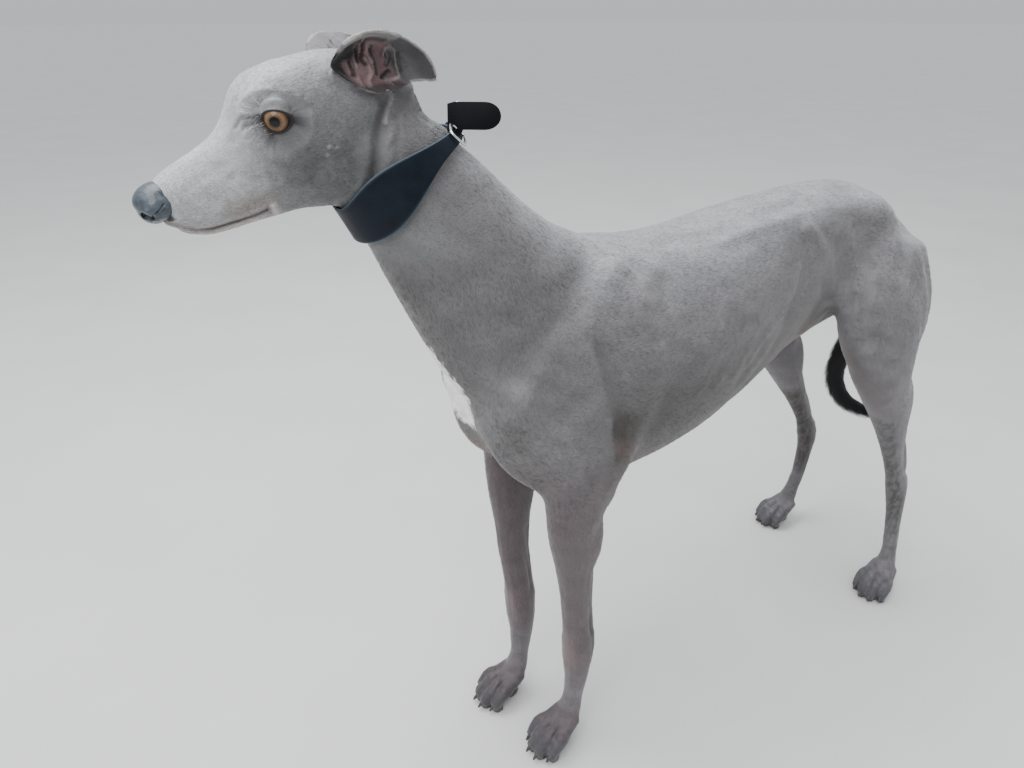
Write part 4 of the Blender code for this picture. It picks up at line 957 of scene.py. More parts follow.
def toe_strokes():
    """Knuckles, and the clefts between the toes, in paw axes."""
    strokes = [(4.2, -1.9, mm((-20, y * 0.94, 43), (-30, y, 36), (-40, y * 1.06, 22), (-46, y * 1.10, 6)))
               for y in (-14.2, 0.0, 14.2)]
    for place, reach, rise in TOES:
        for share, level, radius, height in ((0.42, 0.0395, 8.5, 1.4), (0.78, 0.0275, 6.0, 0.9),
                                             (0.60, 0.0350, 4.0, -0.5)):
            strokes.append((radius, height, np.array([(-0.012 - reach * share, place * 1.18, level + rise)])))
    return strokes


def heels(points):
    """One round the back of each paw, where it meets the leg."""
    near = np.zeros(len(points))
    for pair, side in PAWS:
        spots = local(points, paw_frame(pair, side))
        close = 1 - ease(lengths(spots[:, :2]), 0.045, 0.060)
        level = ease(spots[:, 2], 0.024, 0.036) * (1 - ease(spots[:, 2], 0.075, 0.095))
        near = np.maximum(near, close * level * ease(spots[:, 0], -0.012, 0.002))
    return near


def shape_paws(skin):
    """Clefts and knuckles on every paw, with the skin drawn back under the claws."""
    for pair, side in PAWS:
        axes = paw_frame(pair, side)
        spots = local(places(skin), axes)
        own = (1 - ease(lengths(spots[:, :2]), 0.070, 0.085)) * (1 - ease(spots[:, 2], 0.055, 0.070))
        sculpt(skin, toe_strokes(), spots, own)
        spots = local(places(skin), axes)
        for place, reach, _ in TOES:
            tip = -0.0135 - reach
            claw = (spots[:, 0] < tip) & (np.abs(spots[:, 1] - place * 1.16) < 0.0075) & (own > 0.5)
            spots[claw, 0] = tip + (spots[claw, 0] - tip) * 0.10
        points = places(skin)
        points[own > 0] = carried(spots, axes)[own > 0]
        points[:, 2] = np.maximum(points[:, 2], PAW_BOTTOM)
        set_places(skin, points)


def make_body_skin():
    skin = sealed("skin_body", BODY_NODES)
    modified(skin, "REMESH", mode="VOXEL", voxel_size=BODY_VOXEL)
    keep_part(skin, above_collar(places(skin)) < 0.0)
    refine(skin, places(skin)[:, 2] < 0.062)
    dog = places(skin) + MIDDLE
    height = dog[:, 2]
    broad = ease(height, 0.35, 0.43) * (1 - near_path(dog, TAIL_ROOT, 50, 2))
    ankle = ease(height, 0.034, 0.048) * (1 - ease(height, 0.085, 0.110))
    hips = np.zeros(len(dog))
    for side in SIDES:
        hips = np.maximum(hips, near_path(dog, HIP * (1, side, 1), 80, 1.4))
        hips = np.maximum(hips, near_path(dog, SHOULDER_SEAM * (1, side, 1), 60, 1.4))
    diffuse(skin, 44, broad)
    diffuse(skin, 50, near_path(dog, PROW, 110, 1.4) * ease(height, 0.40, 0.44))
    diffuse(skin, 70, hips)
    diffuse(skin, 24, ankle)
    diffuse(skin, 36, heels(places(skin)))
    diffuse(skin, 16, near_path(dog, HOCKS[0], 34, 1.6) + near_path(dog, HOCKS[1], 34, 1.6))
    relax(skin, 16, 1.0 - 0.6 * (1 - ease(height, 0.050, 0.070)))
    sculpt(skin, body_strokes() + leg_strokes(), places(skin) + MIDDLE)
    set_places(skin, places(skin) - normals(skin) * (BODY_DEPTH + SEAL - 0.0004 * broad)[:, None])
    shape_paws(skin)
    return capped(skin, BODY_TRIANGLES)


# Colours

GREY = (0.124, 0.120, 0.126)
# pale coat tone, also carrying painted sky sheen on the back
PALE_SHEEN = (0.330, 0.335, 0.352)
# near-black tail: its dark coat, darkened further as painted shade between the thighs
TAIL_BLACK_AND_SHADE = (0.010, 0.010, 0.012)
WHITE = (0.90, 0.89, 0.88)
# paler muzzle coat, lightened further as painted sky light
MUZZLE_PALE_AND_LIT = (0.430, 0.434, 0.444)
TAIL_PATH = mm((640, 2, 556), (648, 4, 533), (648, 12, 487), (641, 24, 440), (636, 34, 400), (633, 37, 362),
               (634, 31, 336), (640, 15, 314), (648, -10, 305), (658, -34, 304), (666, -50, 306))
SHANK = mm((540, -108, 350), (575, -102, 290), (609, -100, 243), (640, -112, 157), (640, -118, 80))
RIGHT_HOCK = mm((604, 100, 288), (654, 100, 209), (674, 100, 153), (666, 100, 80))
NECK_SIDE = mm((-150, 0, 740), (-110, 0, 680), (-60, 0, 640))
CHEST_PATCH = mm((-142, 12, 602), (-120, 10, 560), (-107, 14, 522))
CHEST_WING = mm((-112, 36, 556), (-106, 32, 530))

# A mark is a path, its radius in millimetres, its gain, its share and its colour
FACE_MARKS = [
    # painted shade over the lower cheek
    (CHEEK_SHADE, 36, 1, 0.72, (0.062, 0.066, 0.065)),
    (FOREHEAD_LINE, 6.5, 1, 0.60, (0.42, 0.42, 0.43)),
    (BROW_LINE, 4.0, 1, 0.45, (0.28, 0.28, 0.29)),
    # painted shade in the folds of the stop
    *((path, 2.2, 1, 0.55, (0.070, 0.070, 0.074)) for path in STOP_FOLDS),
    (EYE_STREAK, 1.6, 1.2, 0.80, (0.46, 0.45, 0.43)),
    *((path, 2.2, 1, 0.6, (0.40, 0.41, 0.40)) for path in CHEEK_FLECKS),
    (LIP_FLUSH, 12.5, 1, 0.50, (0.230, 0.175, 0.165)),
    (LOWER_LIP, 4.2, 1, 0.70, (0.44, 0.40, 0.37)),
    (LIP_CORNER, 4.2, 1, 0.75, (0.50, 0.46, 0.44)),
    (MOUTH, 3.4, 1, 0.70, (0.120, 0.075, 0.062)),
    (MOUTH[4:], 1.7, 1.8, 1, (0.010, 0.007, 0.007)),
    # painted shadow along the jaw crease below the ear
    (JAW_CREASE[1:], 8.5, 1, 0.60, (0.040, 0.038, 0.040)),
    (JAW_RIDGE, 3.0, 1, 0.45, (0.380, 0.370, 0.370)),
]
CUP_HIGHLIGHTS_AND_SHADE = [
    # painted highlights on the cup's ridges
    *((path, 3.0, 1, 0.6, (0.240, 0.160, 0.158)) for path in EAR_RIDGES),
    # painted shade in the cup's folds
    *((path, 2.6, 1.2, 0.85, (0.022, 0.014, 0.015)) for path in EAR_DARK_FOLDS),
]
FLAP_SHADE = [
    # painted shade in the pocket, under the flap fold and at the ear's base
    *((path, 2.6, 1.2, 0.9, (0.014, 0.010, 0.011)) for path in POCKET_DARK + [FLAP_SHADOW]),
    (EAR_BASE_DARK, 7.4, 1.5, 0.92, (0.018, 0.014, 0.015)),
]
# painted shadow inside the front of the cup
EAR_FRONT_SHADOW = [(EAR_FRONT_DARK, 9.0, 1.9, 1, (0.008, 0.007, 0.008))]
RIM_FUR_HIGHLIGHT_AND_SHADOW = [
    # painted highlight on the pocket rim, painted shadow under the band of grey fur, then the grey fur itself
    (POCKET_RIM, 1.6, 1, 0.6, (0.28, 0.25, 0.24)),
    (BAND_SHADOW, 3.0, 1.2, 0.8, (0.018, 0.015, 0.016)),
    (EAR_BAND, 6.4, 2.2, 1, (0.150, 0.146, 0.148)),
]
THROAT_MARKS = [(mm((-205, 4, 730), (-180, 3, 680), (-140, 0, 600)), 60, 1, 0.66, (0.060, 0.056, 0.055))]
CHEST_MARKS = [(mm((-80, 30, 455), (-60, 28, 425), (-30, 20, 405)), 40, 1, 0.65, (0.170, 0.105, 0.080))]
GROIN_AND_ELBOW_SHADE = [
    (mm((400, 40, 500), (450, 50, 480)), 50, 1, 0.50, (0.215, 0.150, 0.140)),
    # painted shade behind the elbow, on a brownish tone
    (mm((20, 60, 440), (40, 50, 420)), 30, 1, 0.45, (0.100, 0.080, 0.072)),
]
# painted shade in the hollow behind each foreleg
ARMPIT_SHADE = [
    (ARM_REAR, 24, 1, 0.45, (0.052, 0.048, 0.048)),
    (mm((34, 88, 504), (56, 88, 488), (44, 88, 474)), 33, 1.2, 0.70, (0.027, 0.021, 0.018)),
]
SHOULDER_MARKS_AND_HIGHLIGHT = [
    (mm((34, 90, 478), (48, 86, 466)), 17, 1, 0.45, (0.078, 0.050, 0.038)),
    (mm((-13, 92, 472), (-8, 93, 452)), 12, 1, 0.45, (0.040, 0.034, 0.034)),
    # painted highlight along the ridge of the shoulder blade
    (mm((24, 21, 696), (41, 41, 683), (54, 59, 664), (57, 74, 641)), 18, 1, 0.35, (0.250, 0.246, 0.258)),
]


def marked(colours, points, marks, place_path, own=1.0):
    """Colours with marks laid over them in turn, each path taken to its place first."""
    for path, radius, gain, share, colour in marks:
        colours = mixed(colours, near_path(points, place_path(path), radius, gain) * own * share, colour)
    return colours


def tail_mask(dog):
    return ease(-away_from(dog, TAIL_PATH), -0.030, -0.022) * ease(-dog[:, 2], -0.580, -0.545)


def head_share(points):
    """One on the head, easing to nothing over the upper neck."""
    return ease(local(points, HEAD)[:, 0], -0.004, 0.020) * ease(points[:, 2], 0.70, 0.72)


def head_colours(colours, spots, out):
    """Markings of the head, with painted light and shade laid in. The right side is folded onto the left."""
    facing = head_directions(out)
    forward = spots[:, 0]
    height = spots[:, 2]
    colours = mixed(colours, ease(forward, 0.030, 0.075) * 0.6, (0.146, 0.152, 0.152))
    temple = ease(np.abs(spots[:, 1]), 0.015, 0.033) * (1 - ease(forward, 0.125, 0.150))
    # painted sky light: paler where the head faces up
    sky_lit_crown = ease(facing[:, 2], 0.30, 0.95) * ease(forward, 0.02, 0.06) * (1 - 0.72 * temple)
    colours = mixed(colours, sky_lit_crown * 0.82, (0.410, 0.420, 0.420))
    # paler muzzle, lighter toward its top: partly coat, partly painted sky light
    muzzle = ease(forward + 0.25 * height + 0.004 * mottle(spots, 0.012, 3), 0.118, 0.172)
    colours = mixed(colours, muzzle * 0.78, MUZZLE_PALE_AND_LIT)
    colours = mixed(colours, muzzle * ease(-height, 0.018, 0.046) * 0.45, (0.250, 0.228, 0.218))
    colours = marked(colours, folded(spots), FACE_MARKS, flat_path)
    # painted shade on the skin under the nose pad
    shade_under_nose = ease(forward, 0.2190, 0.2215) * ease(height, -0.0215, -0.0185)
    return mixed(colours, shade_under_nose, (0.012, 0.012, 0.014))


def lid_colours(colours, points):
    for side in SIDES:
        spots = local(points, eye_frame(side))
        share = lid_share(spots, side)
        inward = -lengths(spots)
        front = ease(spots[:, 0], 0.0, 0.003) * ease(inward, -0.026, -0.020)
        colours = mixed(colours, front * (1 - ease(share, 1.15, 1.60)) * 0.30, (0.085, 0.083, 0.089))
        near = front * ease(inward, -EYE_RADIUS - 0.0028, -EYE_RADIUS - 0.0018)
        colours = mixed(colours, near * (1 - ease(share, 1.07, 1.16)), (0.010, 0.008, 0.008))
        corner = near_path(spots, EYE_CORNER, 2.2)
        colours = mixed(colours, corner * 0.70 * front, (0.230, 0.105, 0.095))
    return colours


def ear_colours(colours, spots, out):
    """Flap, cup, folds and rims of each ear, with painted shade in folds, pocket and base and painted
    highlights on ridges and rims; all but the rims are judged from the side.
    """
    cup = inner_ear(spots, head_directions(out))
    flat = spots * EAR_FLAT
    for side in SIDES:
        def on_side(path):
            return on_ear(path, side) * EAR_FLAT

        aside = spots[:, 1] * -side
        own = cup * ease(aside, 0.0, 0.01)
        flap = ease(-(spots[:, 0] + ear_shift(side)[0]), -0.0210, -0.0140)
        colours = mixed(colours, own * (1 - flap), (0.135, 0.084, 0.086))
        colours = marked(colours, flat, CUP_HIGHLIGHTS_AND_SHADE, on_side, own)
        colours = mixed(colours, own * flap, (0.044, 0.041, 0.044))
        colours = marked(colours, flat, FLAP_SHADE, on_side, own)
        colours = marked(colours, flat, EAR_FRONT_SHADOW, on_side, own * ease(aside, 0.036, 0.040))
        colours = marked(colours, flat, RIM_FUR_HIGHLIGHT_AND_SHADOW, on_side, own)
        for rim in (EAR_TOP_RIM, EAR_LOW_RIM):
            # painted highlight along the top and lower rims
            edge = ease(-away_from(spots, on_ear(rim, side)), -0.0030, -0.0012)
            colours = mixed(colours, edge * 0.60, (0.42, 0.40, 0.38))
    return colours


def leg_colours(colours, dog):
    height = dog[:, 2]
    low = 1 - ease(height, 0.40, 0.50)
    fore = low * (1 - ease(dog[:, 0], 0.22, 0.30))
    hind = low * ease(dog[:, 0], 0.40, 0.46)
    colours = mixed(colours, fore * 0.84, (0.074, 0.055, 0.059))
    colours = mixed(colours, hind * 0.60, (0.140, 0.126, 0.134))
    blotch = 0.35 + 0.65 * ease(mottle(dog, 0.011, 5) + 0.6 * mottle(dog, 0.005, 6), -0.7, 0.8)
    colours = mixed(colours, near_path(dog, SHANK, 34, 1.5) * blotch * 0.78, (0.036, 0.036, 0.034))
    hock = near_path(dog, RIGHT_HOCK, 50, 1.4) * (0.45 + 0.55 * blotch)
    colours = mixed(colours, hock * 0.92, (0.024, 0.020, 0.017))
    for side in SIDES:
        wrist = near_path(dog, fore_line(side, (-4, 55, 190), (-2, 55, 150)), 26)
        colours = mixed(colours, wrist * 0.45, (0.190, 0.140, 0.142))
        # painted shade in the tendon groove
        groove = near_path(dog, fore_line(side, (12, 74, 290), (27, 69, 213), (29, 69, 143)), 6)
        colours = mixed(colours, groove * 0.65, (0.045, 0.038, 0.040))
        rear = near_path(dog, fore_line(side, (26, 62, 330), (36, 60, 230), (38, 60, 150)), 8)
        colours = mixed(colours, rear * 0.45, (0.260, 0.250, 0.240))
    pastern = low * (1 - ease(height, 0.10, 0.15)) * ease(height, 0.035, 0.07)
    colours = mixed(colours, pastern * 0.35, (0.200, 0.196, 0.212))
    toes = 1 - ease(height + 0.006 * mottle(dog, 0.012, 9), 0.024, 0.052)
    colours = mixed(colours, toes * 0.70, (0.042, 0.044, 0.050))
    return mixed(colours, 1 - ease(height, 0.002, 0.008), (0.018, 0.017, 0.018))


def body_colours(colours, dog, out):
    height = dog[:, 2]
    # paler where the coat faces up: partly grizzled coat, partly painted sky sheen
    top = ease(out[:, 2], 0.20, 0.95) * ease(height, 0.50, 0.62)
    colours = mixed(colours, top * 0.60, PALE_SHEEN)
    # painted shade: darker where the trunk faces down
    under = ease(-out[:, 2], 0.02, 0.70) * ease(height, 0.36, 0.42) * (1 - ease(height, 0.56, 0.60))
    colours = mixed(colours, under * 0.85, (0.046, 0.037, 0.030))
    colours = marked(colours, dog, THROAT_MARKS, np.array)
    colours = mixed(colours, near_path(dog, NECK_SIDE, 120) * (1 - top) * 0.60, (0.080, 0.076, 0.078))
    # painted shade: darker over the lower trunk
    lower = (1 - ease(height, 0.50, 0.60)) * ease(dog[:, 0], -0.02, 0.06) * (1 - ease(dog[:, 0], 0.36, 0.44))
    colours = mixed(colours, lower * 0.82, (0.052, 0.048, 0.046))
    colours = marked(colours, dog, CHEST_MARKS, np.array)
    edge = 0.004 * mottle(dog, 0.011, 11) + 0.0015 * mottle(dog, 0.004, 12)
    reach = np.minimum(away_from(dog, CHEST_PATCH), away_from(dog, CHEST_WING))
    colours = mixed(colours, ease(-(reach + edge), -0.0215, -0.0185), WHITE)
    # the painted armpit shade starts sharply at the arm's rear edge
    behind = ease(dog[:, 0] - np.interp(height, ARM_REAR[:, 2], ARM_REAR[:, 0]), -0.001, 0.004)
    for side in SIDES:
        def on_side(path):
            return path * (1, side, 1)

        colours = marked(colours, dog, GROIN_AND_ELBOW_SHADE, on_side)
        colours = marked(colours, dog, ARMPIT_SHADE, on_side, behind)
        colours = marked(colours, dog, SHOULDER_MARKS_AND_HIGHLIGHT, on_side)
    return colours


def coat_colours(points, out):
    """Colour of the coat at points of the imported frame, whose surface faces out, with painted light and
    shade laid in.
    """
    dog = points + MIDDLE
    spots = local(points, HEAD)
    head = head_share(points)
    base = np.tile(GREY, (len(dog), 1))
    body = body_colours(base, dog, out)
    body = mixed(body, 1 - ease(dog[:, 2], 0.44, 0.54), leg_colours(body, dog))
    face = ear_colours(lid_colours(head_colours(base, spots, out), points), spots, out)
    colours = mixed(mixed(body, head, face), in_ear(spots) * (1 - head), face)
    # tail: dark coat plus painted shade between the thighs
    colours = mixed(colours, tail_mask(dog), TAIL_BLACK_AND_SHADE)
    shade = 1 + 0.07 * mottle(dog, 0.030, 21) + 0.05 * mottle(dog, 0.009, 22)
    return np.clip(colours * shade[:, None], 0.003, 0.93)


def comb_weights(points):
    """Share of body, leg and head hair lie at each point."""
    dog = points + MIDDLE
    head = ease(local(points, HEAD)[:, 0], -0.010, 0.020) * ease(dog[:, 2], 0.68, 0.72)
    leg = (1 - ease(dog[:, 2], 0.36, 0.47)) * (1 - head)
    chest = ease(-dog[:, 0], 0.02, 0.09) * (1 - head)
    leg = np.maximum(leg, chest * 0.8)
    return np.stack([np.clip(1 - leg - head, 0, 1), leg, head], axis=1)


# Unwrap

TILE_MARGIN = 0.004


def region_codes(points):
    """A number for each body region, so that limbs that face the same way unwrap apart."""
    dog = points + MIDDLE
    side = (dog[:, 1] > 0.0).astype(int)
    code = np.zeros(len(dog), dtype=int)
    fore = (dog[:, 0] < 0.20) & (dog[:, 2] < 0.43)
    hind = (dog[:, 0] > 0.40) & (dog[:, 2] < 0.48)
    paw = dog[:, 2] < 0.060
    for first, mask in ((1, fore), (3, hind), (5, fore & paw), (7, hind & paw)):
        code[mask] = first + side[mask]
    code[away_from(dog, TAIL_PATH) < 0.026] = 9
    code[(dog[:, 0] < -0.02) & (dog[:, 2] > 0.62)] = 10
    ear = (in_ear(local(points, HEAD)) > 0.5) & (dog[:, 2] > 0.70)
    code[ear & (dog[:, 1] <= 0.03)] = 11
    code[ear & (dog[:, 1] > 0.03)] = 12
    return code


def shelved(tiles, scale):
    """Places for tiles of a scale, laid in rows, or nothing where they don't fit."""
    x = y = TILE_MARGIN
    shelf = 0.0
    spots = []
    for _, _, size in tiles:
        wide, high = size * scale
        if x + wide + TILE_MARGIN > 1:
            x, y, shelf = TILE_MARGIN, y + shelf + TILE_MARGIN, 0.0
        if wide + 2 * TILE_MARGIN > 1 or y + high + TILE_MARGIN > 1:
            return None
        spots.append((x, y))
        x += wide + TILE_MARGIN
        shelf = max(shelf, high)
    return spots


def unwrap(item):
    """Lay every region out by the way it faces, on tiles that do not overlap."""
    points = places(item)
    corners = triangles(item)
    facing = normals(item)[corners].mean(axis=1)
    axis = np.abs(facing).argmax(axis=1)
    codes = region_codes(points[corners].mean(axis=1))
    key = codes * 6 + axis * 2 + (facing[np.arange(len(axis)), axis] > 0)
    tiles = []
    for value in np.unique(key):
        own = np.where(key == value)[0]
        keep = [k for k in range(3) if k != (value % 6) // 2]
        flat = points[corners[own]][:, :, keep]
        flat = flat - flat.reshape(-1, 2).min(axis=0)
        tiles.append((own, flat, flat.reshape(-1, 2).max(axis=0)))
    tiles.sort(key=lambda tile: -tile[2][1])
    small, large = 0.05, 40.0
    for _ in range(40):
        middle = (small + large) / 2
        spots = shelved(tiles, middle)
        if spots is None:
            large = middle
        else:
            small = scale = middle
            best = spots
    laid = np.empty((len(corners), 3, 2))
    for (own, flat, _), spot in zip(tiles, best):
        laid[own] = flat * scale + np.array(spot)
    item.data.uv_layers.new(name="OFBake").data.foreach_set("uv", laid.ravel())
    return laid


# Tufts

TUFT_FACES = np.array([(0, 3, 4), (0, 4, 1), (1, 4, 5), (1, 5, 2), (3, 6, 4), (4, 6, 5)])
TUFT_PATCH = np.array([(-1, -1), (0, -1), (1, -1), (-1, 0.1), (0, 0.1), (1, 0.1), (0, 1)]) * 0.0015
TUFT_BEND = np.array([(-0.35, 0), (0, 0), (0.35, 0), (-0.35, 0.1), (0, 0.1), (0.35, 0.1), (0, 0.3)])


def hair_lie(points, out):
    """Direction in which the hair lies, along the surface."""
    dog = points + MIDDLE
    x, z = dog[:, 0], dog[:, 2]
    spots = local(points, HEAD)
    lie = np.tile((1.0, 0.0, -0.28), (len(dog), 1))
    lie = mixed(lie, ease(x, 0.42, 0.56), (0.45, 0.0, -0.95))
    lie = mixed(lie, ease(-x, -0.05, 0.04) * ease(z, 0.48, 0.60), (0.52, 0.0, -0.85))
    lie = mixed(lie, 1 - ease(z, 0.36, 0.46), (0.10, 0.0, -1.0))
    lie = mixed(lie, 1 - ease(z, 0.030, 0.062), (-0.85, 0.0, -0.55))
    drop = np.where(spots[:, 2] < 0.0, -0.35, -0.10)
    cheek = np.stack([np.full(len(dog), -1.0), 0.25 * np.sign(spots[:, 1]), drop], axis=1)
    lie = mixed(lie, head_share(points), cheek @ np.array(HEAD.to_3x3()).T)
    steps = TAIL_PATH[1:] - TAIL_PATH[:-1]
    steps /= lengths(steps)[:, None]
    nearest = np.argmin([away_from(dog, TAIL_PATH[k:k + 2]) for k in range(len(steps))], axis=0)
    lie = mixed(lie, tail_mask(dog), steps[nearest])
    lie -= out * np.einsum("ij,ij->i", lie, out)[:, None]
    return lie / np.maximum(lengths(lie), 1e-6)[:, None]


def hair_size(points, out):
    """Length, width, lift and share of tufts at each point."""
    dog = points + MIDDLE
    x, z = dog[:, 0], dog[:, 2]
    spots = local(points, HEAD)
    head = head_share(points)
    muzzle = head * ease(spots[:, 0], 0.12, 0.18)
    leg = (1 - ease(z, 0.34, 0.46)) * (1 - head)
    foot = 1 - ease(z, 0.035, 0.070)
    tail = tail_mask(dog)
    under = tail * ease(-out[:, 0] - 0.3 * out[:, 2], 0.0, 0.7)
    back = ease(x, 0.56, 0.61) * ease(z, 0.42, 0.50) * (1 - tail)
    nape = (1 - ease(np.abs(above_nape(points) - 0.016), 0.003, 0.010)) * ease(out[:, 2], 0.2, 0.6)
    length = 0.0064 * (1 - head) + (0.0040 - 0.0014 * muzzle) * head
    length = length * (1 - 0.60 * near_eyes(points))
    length = length * (1 - 0.62 * in_ear(spots) * ease(z, 0.70, 0.72))
    length = length - 0.0024 * leg - 0.0016 * foot + 0.0050 * tail
    length = length + 0.0070 * under + 0.0030 * back + 0.0045 * nape
    width = 0.00062 - 0.00022 * head - 0.00006 * muzzle - 0.00008 * leg - 0.00008 * foot
    lift = 0.00024 - 0.00008 * head + 0.0011 * tail + 0.0035 * under + 0.0006 * back + 0.0022 * nape
    dense = 1.0 + 0.55 * leg + 0.6 * foot + 2.2 * tail + 2.0 * under
    dense = dense * (1 - head) + (1.0 + 0.8 * muzzle) * head
    return length, width, lift, dense


def bare_places(points):
    """Zero where no tuft grows: on the lids' edge, the mouth line, the nose and the soles."""
    grows = np.ones(len(points))
    for side in SIDES:
        spots = local(points, eye_frame(side))
        grows[(lid_share(spots, side) < 1.30) & (spots[:, 0] > 0) & (lengths(spots) < 0.020)] = 0.0
    spots = local(points, HEAD)
    grows[(spots[:, 0] > 0.2195) & (spots[:, 2] > -0.0185)] = 0.0
    fold = np.abs(spots) * (1, 1, 0) + spots * (0, 0, 1)
    grows[away_from(fold, MOUTH) < 0.0016] = 0.0
    grows[points[:, 2] < 0.004] = 0.0
    return grows


def tuft_roots(skin, laid, count, draw):
    """Roots spread over the skin: place, facing and unwrapped place."""
    points, out = places(skin), normals(skin)
    corners = triangles(skin)
    a, b, c = (points[corners[:, k]] for k in range(3))
    centres = (a + b + c) / 3
    facing = out[corners].mean(axis=1)
    weight = lengths(np.cross(b - a, c - a)) / 2 * hair_size(centres, facing)[3] * bare_places(centres)
    weight *= 1 - 0.80 * inner_ear(local(centres, HEAD), head_directions(facing))
    chosen = np.searchsorted(np.cumsum(weight) / weight.sum(), draw.random(count))
    chosen = np.minimum(chosen, len(corners) - 1)
    u, v = draw.random(count), draw.random(count)
    flip = u + v > 1
    u[flip], v[flip] = 1 - u[flip], 1 - v[flip]
    shares = np.stack([1 - u - v, u, v], axis=1)
    root, facing, spot = (np.einsum("ij,ijk->ik", shares, values)
                          for values in (points[corners[chosen]], out[corners[chosen]], laid[chosen]))
    facing /= np.maximum(lengths(facing), 1e-9)[:, None]
    return root, facing, spot


def blade_points(root, out, lie, across, length, width, lift):
    """Seven points of each blade: three at the root, three at the middle and the tip."""
    blades = np.empty((len(root), 7, 3))
    middle = root + lie * (length * 0.5)[:, None] + out * (lift * 0.85)[:, None]
    sunk = root - out * TUFT_ROOT_DEPTH
    half = across * (width / 2)[:, None]
    ridge = out * (width * 0.35)[:, None]
    for k, shift in enumerate((-half, ridge, half)):
        blades[:, k] = sunk + shift
        blades[:, k + 3] = middle + shift * 0.8
    blades[:, 6] = root + lie * length[:, None] + out * lift[:, None]
    near, far = (np.array(corner) for corner in CAD_BOX)
    return np.clip(blades, near + BOX_MARGIN, far - BOX_MARGIN)


def raw_mesh(name, points, corners, finish):
    mesh = bpy.data.meshes.new(name)
    mesh.vertices.add(len(points))
    mesh.vertices.foreach_set("co", points.astype(np.float32).ravel())
    mesh.loops.add(corners.size)
    mesh.loops.foreach_set("vertex_index", corners.astype(np.int32).ravel())
    mesh.polygons.add(len(corners))
    mesh.polygons.foreach_set("loop_start", np.arange(0, corners.size, 3, dtype=np.int32))
    mesh.update(calc_edges=True)
    mesh.materials.append(finish)
    return new_object(name, mesh)


def lay_shading(item, out, lie, across):
    """Shading normals close to the skin's own, so the coat reads as one sleek surface."""
    aside, ahead = TUFT_BEND[None, :, :1], TUFT_BEND[None, :, 1:]
    facing = out[:, None, :] + across[:, None, :] * aside + lie[:, None, :] * ahead
    facing /= np.linalg.norm(facing, axis=2)[:, :, None]
    item.data.normals_split_custom_set_from_vertices(facing.reshape(-1, 3))


def grow_tufts(name, skin, laid, count, seed, finish, pieces):
    """Thin ridged blades that lie along the coat, split into pieces from nose to tail."""
    draw = np.random.default_rng(seed)
    root, out, spot = tuft_roots(skin, laid, count, draw)
    order = np.argsort(root[:, 0] + 0.3 * root[:, 2], kind="stable")
    root, out, spot = root[order], out[order], spot[order]
    length, width, lift, _ = hair_size(root, out)
    lie = hair_lie(root, out)
    swing = draw.normal(0, 0.17, count)
    lie = lie * np.cos(swing)[:, None] + np.cross(out, lie) * np.sin(swing)[:, None]
    across = np.cross(out, lie)
    length = length * draw.uniform(0.65, 1.25, count)
    width = width * draw.uniform(0.75, 1.25, count)
    lift = lift * draw.uniform(0.35, 1.45, count)
    colours = coat_colours(root, out) * draw.normal(1.02, 0.065, count).clip(0.75, 1.3)[:, None]
    comb = comb_weights(root)
    blades = blade_points(root, out, lie, across, length, width, lift)
    limits = np.linspace(0, count, pieces + 1).astype(int)
    made = []
    for k in range(pieces):
        own = slice(limits[k], limits[k + 1])
        some = limits[k + 1] - limits[k]
        corners = (np.arange(some)[:, None, None] * 7 + TUFT_FACES[None]).reshape(-1, 3)
        item = raw_mesh(name + "_" + str(k + 1), blades[own].reshape(-1, 3), corners, finish)
        patch = (spot[own, None, :] + TUFT_PATCH[None])[:, TUFT_FACES]
        item.data.uv_layers.new(name="OFBake").data.foreach_set("uv", np.clip(patch, 0, 1).ravel())
        set_attribute(item, "Coat", np.repeat(colours[own], 7, axis=0))
        set_attribute(item, "Comb", np.repeat(comb[own], 7, axis=0))
        lay_shading(smooth_faces(item), out[own], lie[own], across[own])
        made.append(item)
    return made


# Eyes, nose and claws

NOSTRIL = mm((236.0, 5.0, -9.0), (234.5, 8.0, -11.2), (233.0, 10.6, -11.8))
NOSE_SLIT = mm((233.0, 11.5, -11.5), (231.4, 15.5, -9.5), (225.9, 17.6, -7.5), (220.5, 17.8, -5.5))


def wall(start, around, count):
    """Faces between rows of points that each go once round."""
    faces = []
    for i in range(count):
        for k in range(around):
            m = (k + 1) % around
            near, far = start + i * around, start + (i + 1) * around
            faces.append((near + k, far + k, far + m, near + m))
    return faces


def make_eye(side, finish):
    """An eyeball with the cornea's bulge, looking along its first axis."""
    around, down = 48, 30
    radius = EYE_RADIUS - EYE_CLEAR
    points = [(radius + CORNEA, 0.0, 0.0)]
    for i in range(1, down):
        polar = math.pi * i / down
        r = radius + CORNEA * max(0.0, 1 - (math.degrees(polar) / 48.0) ** 2)
        for k in range(around):
            a = 2 * math.pi * k / around
            wide = r * math.sin(polar)
            points.append((r * math.cos(polar), wide * math.cos(a), wide * math.sin(a)))
    points.append((-radius, 0.0, 0.0))
    last = len(points) - 1
    foot = last - around
    faces = [(0, 1 + k, 1 + (k + 1) % around) for k in range(around)] + wall(1, around, down - 2)
    faces += [(last, foot + (k + 1) % around, foot + k) for k in range(around)]
    made = mesh_object("eyeball_" + SIDES[side], points, faces, finish)
    made.matrix_world = eye_frame(side)
    return smooth_faces(made)


